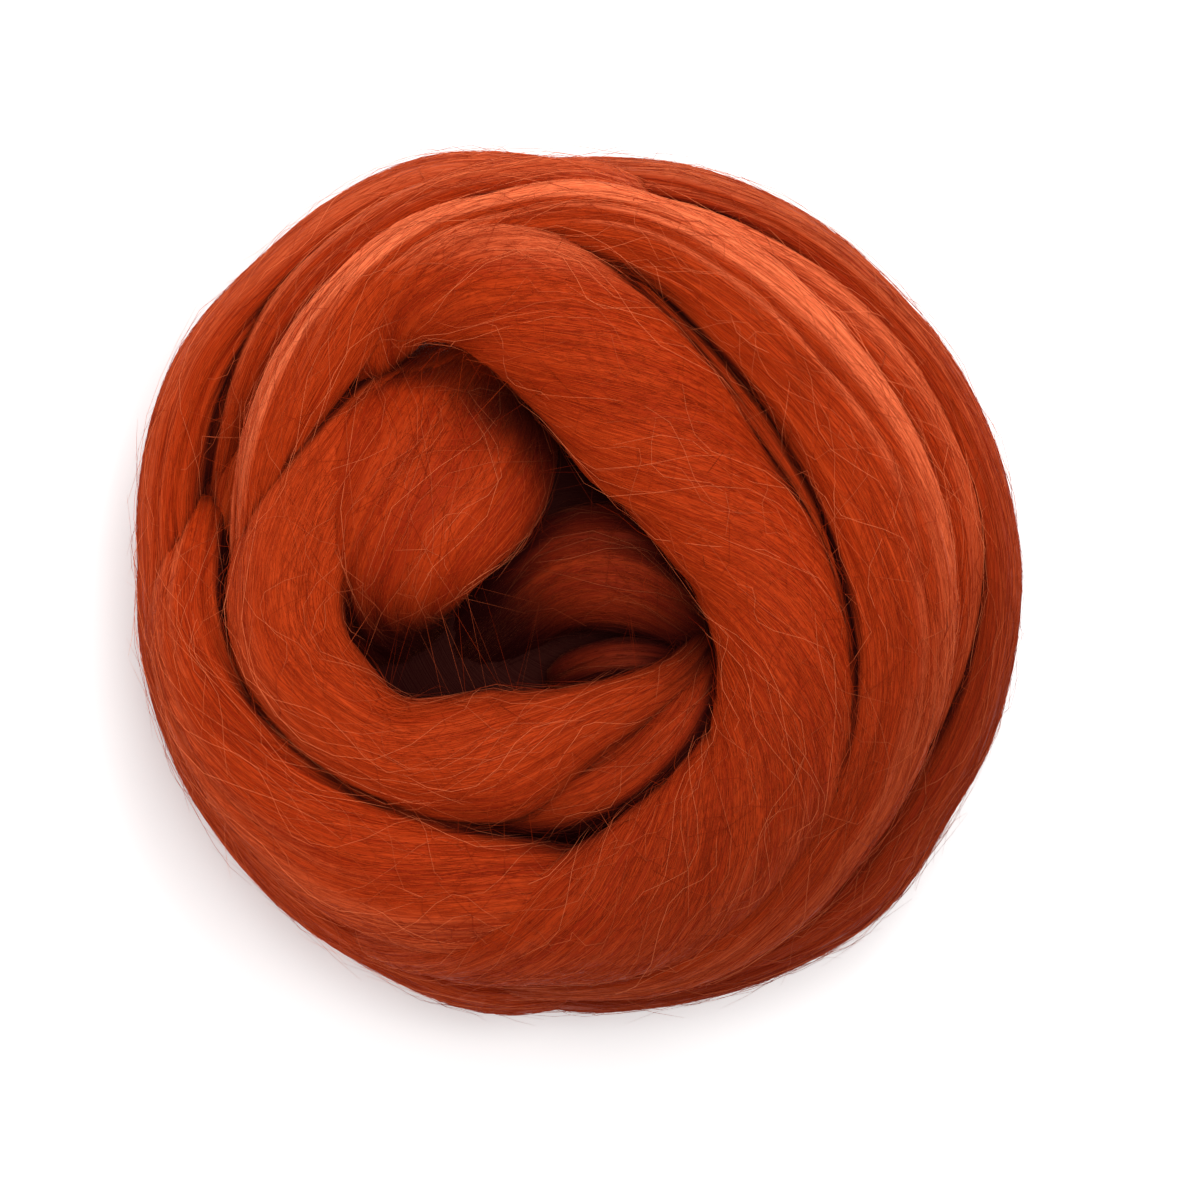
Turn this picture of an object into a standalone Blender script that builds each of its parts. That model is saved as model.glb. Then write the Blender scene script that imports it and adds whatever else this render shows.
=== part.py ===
"""Wool roving wound by hand into a flat round nest, as it is sold for spinning and felting.

Metres, +Z up. The origin is the middle of the flat spot on which the nest rests.
One length of roving makes the whole nest. Its turns cling to each other, so they are one solid.
Each turn is a soft flattened strand, swept along its own route and then fused with its neighbours.
"""

from collections import namedtuple
from math import cos, hypot, pi, radians, sin, tau

import bmesh
import bpy
from mathutils import Matrix, Vector

MM = 0.001

# How much the nest is pressed flat underneath.
FLAT_SPOT_TRIM = 0.0008

# How finely the turns are swept and fused.
SECTION_SIDES = 28
STEP_ALONG = 0.0035
FELT_CELL = 0.0012
FACES_KEPT = 11200

# Soft grooves that run along every strand, where its fibres part.
GROOVES = 5
GROOVE_DEPTH = 0.045
GROOVE_DRIFT_PER_METRE = 3.0

WOOL_COLOUR = (0.52, 0.075, 0.018, 1.0)
WOOL_ROUGHNESS = 0.85

# One section of a strand, in millimetres and degrees. x and y are seen from above, z is the height
# of the strand's middle, across and deep are its width and thickness, and lean tips its outer edge down.
# Every strand runs clockwise as seen from above.
Section = namedtuple("Section", "x y z across deep lean")

# The turn that climbs out of the hollow, crosses the top and broadens down the right side.
CROWN = [
    Section(-26, 26, 26, 10, 12, 0),
    Section(-33.5, 35, 39, 12, 14, 0),
    Section(-27.5, 44.5, 49, 16, 17, 0),
    Section(-16.4, 46.6, 53, 21, 19, -2),
    Section(-7, 43, 54, 24, 21, -4),
    Section(2.5, 35, 54, 25, 21, -6),
    Section(11, 25, 54, 26, 21, -6),
    Section(19.4, 14.6, 54, 22.5, 21, -4),
    Section(28.3, 1.8, 54, 21.5, 21, -2),
    Section(31.8, -12, 53.5, 21, 21, 0),
    Section(30.5, -27, 52, 23, 20, 2),
    Section(21, -40.5, 50.5, 25, 19, 6),
    Section(8, -49.5, 49, 24, 18, 8),
    Section(-4, -53.5, 47, 19, 17, 12),
    Section(-16, -56, 42.5, 14, 15, 16),
    Section(-27, -55.5, 36.5, 11, 13, 18),
    Section(-38, -51, 30, 8, 10, 18),
    Section(-47, -44, 24, 6, 8, 18),
]

# The broad loop outside the crown.
OUTER_LOOP = [
    Section(-52.5, 0, 36, 6, 10, 0),
    Section(-51, 12, 43.5, 7, 13, 4),
    Section(-47, 24, 48.5, 10.5, 15, 6),
    Section(-40.5, 35.5, 49.5, 13, 16, 8),
    Section(-31.5, 46, 50.5, 12.5, 16, 10),
    Section(-21, 53, 50.5, 12.5, 16, 10),
    Section(-10, 56, 50.5, 12, 15, 10),
    Section(2, 56.2, 50.5, 13, 16, 10),
    Section(14, 52, 50.5, 14, 17, 10),
    Section(25.7, 43.4, 51, 17, 17, 6),
    Section(36, 32.1, 51, 18, 17, 3),
    Section(44.5, 18.3, 51, 19, 17, 2),
    Section(49, 3.4, 50.5, 19, 17, 2),
    Section(50, -11.5, 50, 16.5, 17, 3),
    Section(46.5, -25.5, 49, 15, 16, 5),
    Section(39.5, -38, 47.5, 14, 15, 8),
    Section(29.5, -49, 45, 14, 15, 12),
    Section(16.5, -57, 42, 13, 15, 18),
    Section(3, -60, 37, 11, 14, 20),
    Section(-11, -60, 29.5, 10, 12, 20),
    Section(-24, -57, 22, 7, 9, 20),
]

# A thin fold caught between the crown and the outer loop.
CAUGHT_FOLD = [
    Section(-24, 50, 42, 6, 10, 0),
    Section(-10, 54, 45.5, 7, 12, 0),
    Section(3, 51.5, 46, 7, 14, 0),
    Section(13.3, 42.7, 45.5, 6, 14, 0),
    Section(22, 32.7, 45.5, 6, 14, 0),
    Section(29.9, 21.8, 45.5, 6, 14, 0),
    Section(36.8, 9.6, 45.5, 6, 14, 0),
    Section(41.4, -3, 45.5, 6, 14, 0),
    Section(42.6, -16.6, 45.5, 6, 14, 4),
    Section(41, -30, 45.5, 7, 13, 6),
    Section(34, -42, 44.5, 8, 12, 8),
    Section(23, -51.5, 43, 7, 11, 8),
]

# A loose flat fold that lies against the outside of the outer loop.
LOOSE_FOLD = [
    Section(6, 58, 38, 9, 13, 20),
    Section(20.5, 52.5, 41.5, 11, 14, 22),
    Section(33.5, 45, 42, 12, 14, 24),
    Section(44, 36, 41.5, 12, 14, 24),
    Section(52.3, 24, 41, 12, 14, 24),
    Section(56.5, 12, 41, 12, 14, 24),
    Section(57.5, 0, 40, 11, 14, 24),
    Section(55.5, -13, 37.5, 10, 14, 22),
    Section(51, -26, 34, 9, 13, 20),
]

# The fold between the rim and the outer loop on the left.
LEFT_FOLD = [
    Section(-56.5, -2, 22, 7, 12, 10),
    Section(-57, 12, 25.5, 7.5, 13, 12),
    Section(-54, 24.5, 31, 8, 14, 14),
    Section(-49.4, 35, 36.5, 8.5, 15, 16),
    Section(-42.8, 44.2, 41.5, 8.5, 15, 18),
    Section(-34.3, 51.8, 45.5, 8.5, 14, 18),
    Section(-24.5, 57.8, 46, 8.5, 14, 18),
    Section(-12, 61, 45.5, 8.5, 14, 18),
    Section(1, 61.5, 43, 9, 14, 18),
    Section(13, 58.5, 36, 6, 9, 18),
]

# The swelling lobe beside the hollow. It rises out of the hollow and dips under the crown.
LOBE = [
    Section(-27, -10, 14, 12, 11, 0),
    Section(-29, -6, 26, 20, 15, 0),
    Section(-31, 0, 39.5, 25, 19, 2),
    Section(-28, 8.5, 48.5, 31, 21.5, 4),
    Section(-22.5, 17.5, 47, 36, 21, 4),
    Section(-18.5, 25, 39, 33, 18, 4),
    Section(-15.5, 31.5, 27, 22, 15, 0),
    Section(-13, 38, 19, 15, 12, 0),
]

# The turn that leaves the hollow on the right, rounds its lower edge and swings up the left.
RING_TURN = [
    Section(22.5, -8, 36, 8, 11, 0),
    Section(16, -14.5, 42.5, 8, 13, 0),
    Section(8, -18.8, 46.5, 9.5, 14, 0),
    Section(-1, -22.8, 48, 13.5, 15.5, -2),
    Section(-11, -26.8, 48, 21, 17, -4),
    Section(-21, -27.5, 48, 20, 17.5, -3),
    Section(-30.5, -25.5, 48, 16.5, 18, 0),
    Section(-38.5, -19, 48, 17.5, 18.5, 4),
    Section(-44.7, -10.5, 48, 18.5, 18.5, 6),
    Section(-45.5, 0, 47.5, 19, 18.5, 6),
    Section(-41, 10, 46.5, 21, 18.5, 6),
    Section(-34, 19, 45, 21, 18, 4),
    Section(-26, 27.5, 40, 18, 16, 2),
    Section(-17, 35, 30, 12, 12, 0),
]

# The fold outside it, which slips under it halfway round.
RING_FOLD = [
    Section(22.5, -11, 37, 9, 12, 0),
    Section(17, -20.5, 44.5, 11, 15, 2),
    Section(11, -27, 46, 12, 15, 4),
    Section(3, -31.8, 45.5, 12.5, 15, 4),
    Section(-6, -34.3, 43, 11, 13, 4),
    Section(-16, -35, 38, 9, 11, 0),
]

# The deep turn that shows at the bottom of the hollow, and the small fold below it.
DEEP_TURN = [
    Section(-21, -13, 20, 9, 12, 0),
    Section(-12.5, -5.5, 30, 14, 15, 0),
    Section(-2.5, 1.5, 38.5, 19, 18, 0),
    Section(7, 2, 40.5, 20, 18, 0),
    Section(16, -3, 37.5, 16, 16, 0),
    Section(24, -11, 30, 12, 13, 0),
]
SMALL_FOLD = [
    Section(19, -15, 32, 7, 8, 0),
    Section(13, -12.6, 38, 7, 9, 0),
    Section(7, -11.8, 40.5, 7, 9.5, 0),
    Section(1, -12.8, 39, 6.5, 9, 0),
    Section(-5, -15.5, 35, 6, 8, 0),
]

# The broad turn along the lower left, over the rim.
LEFT_SWEEP = [
    Section(16, -52, 34, 13, 13, 8),
    Section(3, -50.5, 41, 17, 16, 12),
    Section(-10, -49.3, 44.5, 20, 18, 14),
    Section(-23, -47.3, 45, 21.5, 19, 16),
    Section(-35.5, -42.5, 45, 20.5, 19, 18),
    Section(-46.5, -34, 44.5, 18, 19, 20),
    Section(-54.3, -24.5, 43.5, 16, 19, 22),
    Section(-59, -14.5, 42, 14, 18, 24),
    Section(-60.8, -4.5, 39.5, 13, 17, 22),
    Section(-60, 4, 35.5, 12, 15, 18),
    Section(-58.5, 12, 26, 9, 12, 14),
]

# The rim, in two lengths that cross at the top and at the bottom.
RIM_LEFT = [
    Section(8, -58, 18, 14, 20, 0),
    Section(-12.2, -61.2, 22, 15, 24, 4),
    Section(-30, -54.5, 25, 15, 26, 4),
    Section(-44.6, -43.8, 27, 15, 27, 4),
    Section(-56, -28.5, 28.5, 15, 27, 4),
    Section(-62.4, -11.2, 29, 14, 27, 4),
    Section(-64.2, 4, 29.5, 11.5, 26, 4),
    Section(-64.2, 15, 30, 11, 26, 4),
    Section(-61.5, 27.5, 30.5, 11, 26, 4),
    Section(-56.5, 37.3, 31, 11, 26, 4),
    Section(-48, 46.3, 31, 11, 26, 4),
    Section(-36, 56, 31, 11.5, 26, 4),
    Section(-22.5, 61.7, 31, 12, 25, 4),
    Section(-8, 61.5, 28, 13, 22, 4),
    Section(6, 58, 23, 13, 18, 4),
]
RIM_RIGHT = [
    Section(-22, 54, 22, 14, 18, 0),
    Section(-6, 60, 27, 14, 23, 4),
    Section(10, 60.8, 30.5, 12.5, 26, 6),
    Section(23, 57.8, 31.5, 12, 26, 6),
    Section(36.3, 50.9, 31.5, 12, 26, 6),
    Section(48, 40.1, 31.5, 12, 26, 6),
    Section(55.4, 30.4, 31.5, 11.5, 26, 6),
    Section(61.3, 17.5, 31, 11, 26, 6),
    Section(64.2, 3, 30.5, 11, 26, 6),
    Section(63, -11, 29.5, 11.5, 26, 6),
    Section(58.8, -23.5, 28.5, 13, 26, 6),
    Section(51.8, -35.2, 27.5, 14, 26, 6),
    Section(44.5, -45.5, 27, 15, 25, 6),
    Section(35.2, -52.3, 26, 15, 25, 6),
    Section(23.4, -57.6, 24.5, 15, 23, 6),
    Section(11.2, -60.3, 22.5, 15, 22, 4),
    Section(-3, -61, 20, 14, 20, 4),
    Section(-18, -56, 16, 12, 16, 0),
]

# One stage of the windings that nobody sees from above. deg is the angle about the nest's axis,
# and reach the distance from it. The rest is as in a section.
Stage = namedtuple("Stage", "deg reach z across deep lean")

# The underside, one spiral that opens outwards and climbs the side.
UNDER_SPIRAL = [
    Stage(0, 15, 14, 10, 16, 0),
    Stage(-120, 20.5, 11.5, 16, 19, -2),
    Stage(-240, 28, 11.5, 18, 20, -4),
    Stage(-360, 34.5, 12.3, 19, 21, -8),
    Stage(-480, 41, 13.7, 20, 22, -12),
    Stage(-600, 47.5, 16, 21, 24, -16),
    Stage(-720, 53.5, 19, 21, 26, -16),
    Stage(-840, 56.5, 22.5, 18, 26, -10),
    Stage(-940, 57, 25, 14, 22, -4),
]

# The filling between the rim and the hollow, a full turn.
FILLING = [
    Stage(20, 46, 34, 24, 30, 0),
    Stage(-160, 46, 34, 24, 30, 0),
    Stage(-340, 46, 34, 24, 30, 0),
]
STAGE_SPLIT_DEG = 24

# The packed middle of the nest, which the turns lie on, as two flattened balls, in millimetres.
# The underside of the lower one is the flat spot.
Ball = namedtuple("Ball", "z reach half_tall")
PACKED_MIDDLE = [
    Ball(22, 44, 11),
    Ball(12.5, 26, 13),
]


def winding_sections(stages):
    """The sections of a winding, with enough of them between its stages to keep it round."""
    sections = []
    for a, b in zip(stages, stages[1:]):
        count = max(2, round(abs(b.deg - a.deg) / STAGE_SPLIT_DEG))
        last = b is stages[-1]
        for i in range(count + last):
            here = Stage(*(p + (q - p) * i / count for p, q in zip(a, b)))
            angle = radians(here.deg)
            x = here.reach * cos(angle)
            y = here.reach * sin(angle)
            sections.append(Section(x, y, here.z, here.across, here.deep, here.lean))
    return sections


def between(p0, p1, p2, p3, t):
    """A smooth (Catmull-Rom) value between p1 and p2."""
    return 0.5 * (
        2 * p1
        + (p2 - p0) * t
        + (2 * p0 - 5 * p1 + 4 * p2 - p3) * t**2
        + (3 * p1 - p0 - 3 * p2 + p3) * t**3
    )


def smooth_sections(sections):
    """Sections a few millimetres apart, on a smooth route through the given ones."""
    ends = [sections[0], *sections, sections[-1]]
    smooth = []
    for p0, p1, p2, p3 in zip(ends, ends[1:], ends[2:], ends[3:]):
        gap = hypot(p2.x - p1.x, p2.y - p1.y, p2.z - p1.z) * MM
        steps = max(2, round(gap / STEP_ALONG))
        for i in range(steps):
            smooth.append(Section(*(between(a, b, c, d, i / steps) for a, b, c, d in zip(p0, p1, p2, p3))))
    smooth.append(sections[-1])
    return smooth


def groove(angle, along, phase):
    """How far the skin sinks between two locks of fibre, as a share of the strand's half width."""
    wave = cos(GROOVES * angle + phase + GROOVE_DRIFT_PER_METRE * tau * along)
    return 1 + GROOVE_DEPTH * (wave - 1) / 2


def strand_mesh(bm, sections, phase):
    """Adds one strand to bm: a flattened tube through its sections, closed at both ends."""
    route = smooth_sections(sections)
    centres = [Vector((s.x, s.y, s.z)) * MM for s in route]
    up = Vector((0, 0, 1))
    rings = []
    along = 0.0
    for i, (section, centre) in enumerate(zip(route, centres)):
        ahead = centres[min(i + 1, len(centres) - 1)] - centres[max(i - 1, 0)]
        ahead.normalize()
        inward = ahead.cross(up).normalized()
        tip = radians(section.lean)
        wide = (inward * cos(tip) + up * sin(tip)).normalized()
        normal = wide.cross(ahead).normalized()
        if i:
            along += (centre - centres[i - 1]).length
        ring = []
        for k in range(SECTION_SIDES):
            angle = tau * k / SECTION_SIDES
            swell = groove(angle, along, phase)
            offset = wide * (cos(angle) * section.across / 2) + normal * (sin(angle) * section.deep / 2)
            ring.append(bm.verts.new(centre + offset * swell * MM))
        rings.append(ring)
    for ring, following in zip(rings, rings[1:]):
        for k in range(SECTION_SIDES):
            nxt = (k + 1) % SECTION_SIDES
            bm.faces.new((ring[k], ring[nxt], following[nxt], following[k]))
    for ring, centre in ((rings[0], centres[0]), (rings[-1], centres[-1])):
        tip_vert = bm.verts.new(centre)
        for k in range(SECTION_SIDES):
            bm.faces.new((ring[k], ring[(k + 1) % SECTION_SIDES], tip_vert))


def ball_mesh(bm, ball):
    """Adds one flattened ball of the packed middle."""
    size = Matrix.Diagonal((ball.reach * MM, ball.reach * MM, ball.half_tall * MM, 1))
    place = Matrix.Translation((0, 0, ball.z * MM)) @ size
    bmesh.ops.create_uvsphere(bm, u_segments=48, v_segments=24, radius=1, matrix=place)


def wool():
    """Dyed combed wool, burnt orange."""
    material = bpy.data.materials.new("dyed_wool")
    material.use_nodes = True
    shader = material.node_tree.nodes["Principled BSDF"]
    shader.inputs["Base Color"].default_value = WOOL_COLOUR
    shader.inputs["Roughness"].default_value = WOOL_ROUGHNESS
    shader.inputs["Metallic"].default_value = 0.0
    return material


def evaluated_copy(source):
    """The mesh of source with its modifiers applied."""
    seen = source.evaluated_get(bpy.context.evaluated_depsgraph_get())
    return bpy.data.meshes.new_from_object(seen)


def keep_outer_skin(bm):
    """Deletes the closed pockets that fusing leaves between the turns, and keeps the outer skin."""
    unseen = set(bm.faces)
    shells = []
    while unseen:
        shell = [unseen.pop()]
        for face in shell:
            beside = {other for edge in face.edges for other in edge.link_faces} & unseen
            unseen -= beside
            shell.extend(beside)
        shells.append(shell)
    skin = set(max(shells, key=len))
    bmesh.ops.delete(bm, geom=[face for face in bm.faces if face not in skin], context="FACES")


def cut_flat_spot(bm):
    """Trims the underside level at z = 0 and closes it with one flat face."""
    level = (0, 0, FLAT_SPOT_TRIM)
    geometry = [*bm.verts, *bm.edges, *bm.faces]
    cut = bmesh.ops.bisect_plane(bm, geom=geometry, plane_co=level, plane_no=(0, 0, 1), clear_inner=True)
    rim = [e for e in cut["geom_cut"] if isinstance(e, bmesh.types.BMEdge)]
    bmesh.ops.holes_fill(bm, edges=rim)
    bmesh.ops.translate(bm, verts=bm.verts[:], vec=(0, 0, -FLAT_SPOT_TRIM))


def nest():
    """The whole wound nest as one solid."""
    bm = bmesh.new()
    by_hand = [
        CROWN, OUTER_LOOP, CAUGHT_FOLD, LOOSE_FOLD, LEFT_FOLD, LOBE, RING_TURN,
        RING_FOLD, DEEP_TURN, SMALL_FOLD, LEFT_SWEEP, RIM_LEFT, RIM_RIGHT,
    ]
    turns = by_hand + [winding_sections(UNDER_SPIRAL), winding_sections(FILLING)]
    for i, sections in enumerate(turns):
        strand_mesh(bm, sections, phase=i * pi / 3)
    for ball in PACKED_MIDDLE:
        ball_mesh(bm, ball)
    bmesh.ops.recalc_face_normals(bm, faces=bm.faces[:])
    mesh = bpy.data.meshes.new("roving_nest")
    bm.to_mesh(mesh)
    bm.free()

    fused = bpy.data.objects.new("roving_nest", mesh)
    bpy.context.scene.collection.objects.link(fused)
    felt = fused.modifiers.new("felt_together", "REMESH")
    felt.mode = "VOXEL"
    felt.voxel_size = FELT_CELL
    soften = fused.modifiers.new("soften", "SMOOTH")
    soften.iterations = 2
    skin = evaluated_copy(fused)
    fused.modifiers.clear()
    bm = bmesh.new()
    bm.from_mesh(skin)
    keep_outer_skin(bm)
    bm.to_mesh(mesh)
    bm.free()

    fewer = fused.modifiers.new("fewer_faces", "DECIMATE")
    mesh.calc_loop_triangles()
    fewer.ratio = min(1.0, FACES_KEPT / len(mesh.loop_triangles))
    fewer.use_collapse_triangulate = True
    light = evaluated_copy(fused)
    fused.modifiers.clear()
    bm = bmesh.new()
    bm.from_mesh(light)
    cut_flat_spot(bm)
    keep_outer_skin(bm)
    bm.to_mesh(mesh)
    bm.free()

    mesh.shade_smooth()
    mesh.materials.append(wool())
    return fused


for old in list(bpy.data.objects):
    bpy.data.objects.remove(old)
nest()
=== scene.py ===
"""Looks of a soft nest of combed wool roving, wound on itself and seen from straight above.

Every turn of the roving is a grooved strand of its own, laid on the route that the solid has.
Combed fibres follow the lay of each turn, a few stray ones stand off it, and loose wisps lie
over the whole nest and cross its creases.
"""

from collections import namedtuple
from functools import reduce
from math import pi, radians, tau

import bpy  # noqa: E402
import numpy as np  # noqa: E402
from bpy.props import FloatProperty, FloatVectorProperty, IntProperty, PointerProperty  # noqa: E402
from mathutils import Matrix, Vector  # noqa: E402
from mathutils.bvhtree import BVHTree  # noqa: E402


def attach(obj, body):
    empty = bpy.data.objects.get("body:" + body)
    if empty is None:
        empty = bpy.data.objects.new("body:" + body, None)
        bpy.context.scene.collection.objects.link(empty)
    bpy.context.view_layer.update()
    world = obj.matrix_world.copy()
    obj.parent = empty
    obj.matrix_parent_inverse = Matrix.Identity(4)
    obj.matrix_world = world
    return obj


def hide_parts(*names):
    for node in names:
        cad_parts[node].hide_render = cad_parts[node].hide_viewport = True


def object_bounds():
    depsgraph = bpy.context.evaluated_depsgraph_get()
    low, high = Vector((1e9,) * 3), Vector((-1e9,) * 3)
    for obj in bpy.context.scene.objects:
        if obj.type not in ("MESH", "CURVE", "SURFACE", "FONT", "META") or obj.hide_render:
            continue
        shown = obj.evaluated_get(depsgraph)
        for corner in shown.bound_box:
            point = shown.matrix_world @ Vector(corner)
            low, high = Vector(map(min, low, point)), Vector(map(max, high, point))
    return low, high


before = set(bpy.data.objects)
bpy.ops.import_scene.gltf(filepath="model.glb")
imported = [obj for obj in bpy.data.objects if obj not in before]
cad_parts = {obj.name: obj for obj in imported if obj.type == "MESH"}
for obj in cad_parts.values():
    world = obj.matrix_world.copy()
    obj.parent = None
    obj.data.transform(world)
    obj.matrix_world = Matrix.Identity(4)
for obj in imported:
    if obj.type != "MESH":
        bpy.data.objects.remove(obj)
CAD_LOW, CAD_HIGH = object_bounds()

bl_info = {
    "name": "Wool roving nest",
    "version": (1, 0, 0),
    "blender": (4, 5, 0),
    "location": "View3D > Sidebar > Roving",
    "description": "Builds a wound nest of combed wool roving, its fibres and its stage",
    "category": "Object",
}

MM = 0.001
PER_CM2 = 1e4
NODE = "roving_nest"
BODY = "root"
BAKE_MAP = "OFBake"
VECTOR = "FLOAT_VECTOR"

# How far off, in metres, a neighbour paints a lot of shade on a place, and how far off it still paints some
# shade on it.
NEAR = 0.009
FAR = 0.05
# Rays from each place that find its neighbours, and how far over the skin they start.
RAYS = 20
RAY_START = 0.0014
# The share of the half ball over a place that the rays cover, so that none grazes the skin.
SKY_SHARE = 0.97

# Steps between the seeds of the turns, of their strays and of their tones.
SEED_STEP = 31
STRAY_SEED = 15
TONE_SEED = 500

# One section of a strand, in millimetres and degrees. x and y are seen from above, z is the height
# of the strand's middle, across and deep are its width and thickness, and lean tips its left side
# down, which is the outer side of a strand that runs clockwise. It is 0 where it is not given.
Section = namedtuple("Section", "x y z across deep lean", defaults=(0,))


def strand(*rows):
    """A strand's sections, in their order along it."""
    return [Section(*row) for row in rows]


# The turn that climbs out of the hollow, crosses the top and broadens down the right side.
CROWN = strand(
    (-26, 26, 26, 10, 12),
    (-33.5, 35, 39, 12, 14),
    (-27.5, 44.5, 49, 16, 17),
    (-16.4, 46.6, 53, 21, 19, -2),
    (-7, 43, 54, 24, 21, -4),
    (2.5, 35, 54, 25, 21, -6),
    (11, 25, 54, 26, 21, -6),
    (19.4, 14.6, 54, 22.5, 21, -4),
    (28.3, 1.8, 54, 21.5, 21, -2),
    (31.8, -12, 53.5, 21, 21),
    (30.5, -27, 52, 23, 20, 2),
    (21, -40.5, 50.5, 25, 19, 6),
    (8, -49.5, 49, 24, 18, 8),
    (-4, -53.5, 47, 19, 17, 12),
    (-16, -56, 42.5, 14, 15, 16),
    (-27, -55.5, 36.5, 11, 13, 18),
    (-38, -51, 30, 8, 10, 18),
    (-47, -44, 24, 6, 8, 18),
)

# The broad loop outside the crown.
OUTER_LOOP = strand(
    (-52.5, 0, 36, 6, 10),
    (-51, 12, 43.5, 7, 13, 4),
    (-47, 24, 48.5, 10.5, 15, 6),
    (-40.5, 35.5, 49.5, 13, 16, 8),
    (-31.5, 46, 50.5, 12.5, 16, 10),
    (-21, 53, 50.5, 12.5, 16, 10),
    (-10, 56, 50.5, 12, 15, 10),
    (2, 56.2, 50.5, 13, 16, 10),
    (14, 52, 50.5, 14, 17, 10),
    (25.7, 43.4, 51, 17, 17, 6),
    (36, 32.1, 51, 18, 17, 3),
    (44.5, 18.3, 51, 19, 17, 2),
    (49, 3.4, 50.5, 19, 17, 2),
    (50, -11.5, 50, 16.5, 17, 3),
    (46.5, -25.5, 49, 15, 16, 5),
    (39.5, -38, 47.5, 14, 15, 8),
    (29.5, -49, 45, 14, 15, 12),
    (16.5, -57, 42, 13, 15, 18),
    (3, -60, 37, 11, 14, 20),
    (-11, -60, 29.5, 10, 12, 20),
    (-24, -57, 22, 7, 9, 20),
)

# A thin fold caught between the crown and the outer loop.
CAUGHT_FOLD = strand(
    (-24, 50, 42, 6, 10),
    (-10, 54, 45.5, 7, 12),
    (3, 51.5, 46, 7, 14),
    (13.3, 42.7, 45.5, 6, 14),
    (22, 32.7, 45.5, 6, 14),
    (29.9, 21.8, 45.5, 6, 14),
    (36.8, 9.6, 45.5, 6, 14),
    (41.4, -3, 45.5, 6, 14),
    (42.6, -16.6, 45.5, 6, 14, 4),
    (41, -30, 45.5, 7, 13, 6),
    (34, -42, 44.5, 8, 12, 8),
    (23, -51.5, 43, 7, 11, 8),
)

# A loose flat fold that lies against the outside of the outer loop.
LOOSE_FOLD = strand(
    (6, 58, 38, 9, 13, 20),
    (20.5, 52.5, 41.5, 11, 14, 22),
    (33.5, 45, 42, 12, 14, 24),
    (44, 36, 41.5, 12, 14, 24),
    (52.3, 24, 41, 12, 14, 24),
    (56.5, 12, 41, 12, 14, 24),
    (57.5, 0, 40, 11, 14, 24),
    (55.5, -13, 37.5, 10, 14, 22),
    (51, -26, 34, 9, 13, 20),
)

# The fold between the rim and the outer loop on the left.
LEFT_FOLD = strand(
    (-56.5, -2, 22, 7, 12, 10),
    (-57, 12, 25.5, 7.5, 13, 12),
    (-54, 24.5, 31, 8, 14, 14),
    (-49.4, 35, 36.5, 8.5, 15, 16),
    (-42.8, 44.2, 41.5, 8.5, 15, 18),
    (-34.3, 51.8, 45.5, 8.5, 14, 18),
    (-24.5, 57.8, 46, 8.5, 14, 18),
    (-12, 61, 45.5, 8.5, 14, 18),
    (1, 61.5, 43, 9, 14, 18),
    (13, 58.5, 36, 6, 9, 18),
)

# The swelling lobe beside the hollow. It rises out of the hollow and dips under the crown.
LOBE = strand(
    (-27, -10, 14, 12, 11),
    (-29, -6, 26, 20, 15),
    (-31, 0, 39.5, 25, 19, 2),
    (-28, 8.5, 48.5, 31, 21.5, 4),
    (-22.5, 17.5, 47, 36, 21, 4),
    (-18.5, 25, 39, 33, 18, 4),
    (-15.5, 31.5, 27, 22, 15),
    (-13, 38, 19, 15, 12),
)

# The turn that leaves the hollow on the right, rounds its lower edge and swings up the left.
RING_TURN = strand(
    (22.5, -8, 36, 8, 11),
    (16, -14.5, 42.5, 8, 13),
    (8, -18.8, 46.5, 9.5, 14),
    (-1, -22.8, 48, 13.5, 15.5, -2),
    (-11, -26.8, 48, 21, 17, -4),
    (-21, -27.5, 48, 20, 17.5, -3),
    (-30.5, -25.5, 48, 16.5, 18),
    (-38.5, -19, 48, 17.5, 18.5, 4),
    (-44.7, -10.5, 48, 18.5, 18.5, 6),
    (-45.5, 0, 47.5, 19, 18.5, 6),
    (-41, 10, 46.5, 21, 18.5, 6),
    (-34, 19, 45, 21, 18, 4),
    (-26, 27.5, 40, 18, 16, 2),
    (-17, 35, 30, 12, 12),
)

# The fold outside it, which slips under it halfway round.
RING_FOLD = strand(
    (22.5, -11, 37, 9, 12),
    (17, -20.5, 44.5, 11, 15, 2),
    (11, -27, 46, 12, 15, 4),
    (3, -31.8, 45.5, 12.5, 15, 4),
    (-6, -34.3, 43, 11, 13, 4),
    (-16, -35, 38, 9, 11),
)

# The deep turn that shows at the bottom of the hollow, and the small fold below it.
DEEP_TURN = strand(
    (-21, -13, 20, 9, 12),
    (-12.5, -5.5, 30, 14, 15),
    (-2.5, 1.5, 38.5, 19, 18),
    (7, 2, 40.5, 20, 18),
    (16, -3, 37.5, 16, 16),
    (24, -11, 30, 12, 13),
)
SMALL_FOLD = strand(
    (19, -15, 32, 7, 8),
    (13, -12.6, 38, 7, 9),
    (7, -11.8, 40.5, 7, 9.5),
    (1, -12.8, 39, 6.5, 9),
    (-5, -15.5, 35, 6, 8),
)

# The broad turn along the lower left, over the rim.
LEFT_SWEEP = strand(
    (16, -52, 34, 13, 13, 8),
    (3, -50.5, 41, 17, 16, 12),
    (-10, -49.3, 44.5, 20, 18, 14),
    (-23, -47.3, 45, 21.5, 19, 16),
    (-35.5, -42.5, 45, 20.5, 19, 18),
    (-46.5, -34, 44.5, 18, 19, 20),
    (-54.3, -24.5, 43.5, 16, 19, 22),
    (-59, -14.5, 42, 14, 18, 24),
    (-60.8, -4.5, 39.5, 13, 17, 22),
    (-60, 4, 35.5, 12, 15, 18),
    (-58.5, 12, 26, 9, 12, 14),
)

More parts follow.
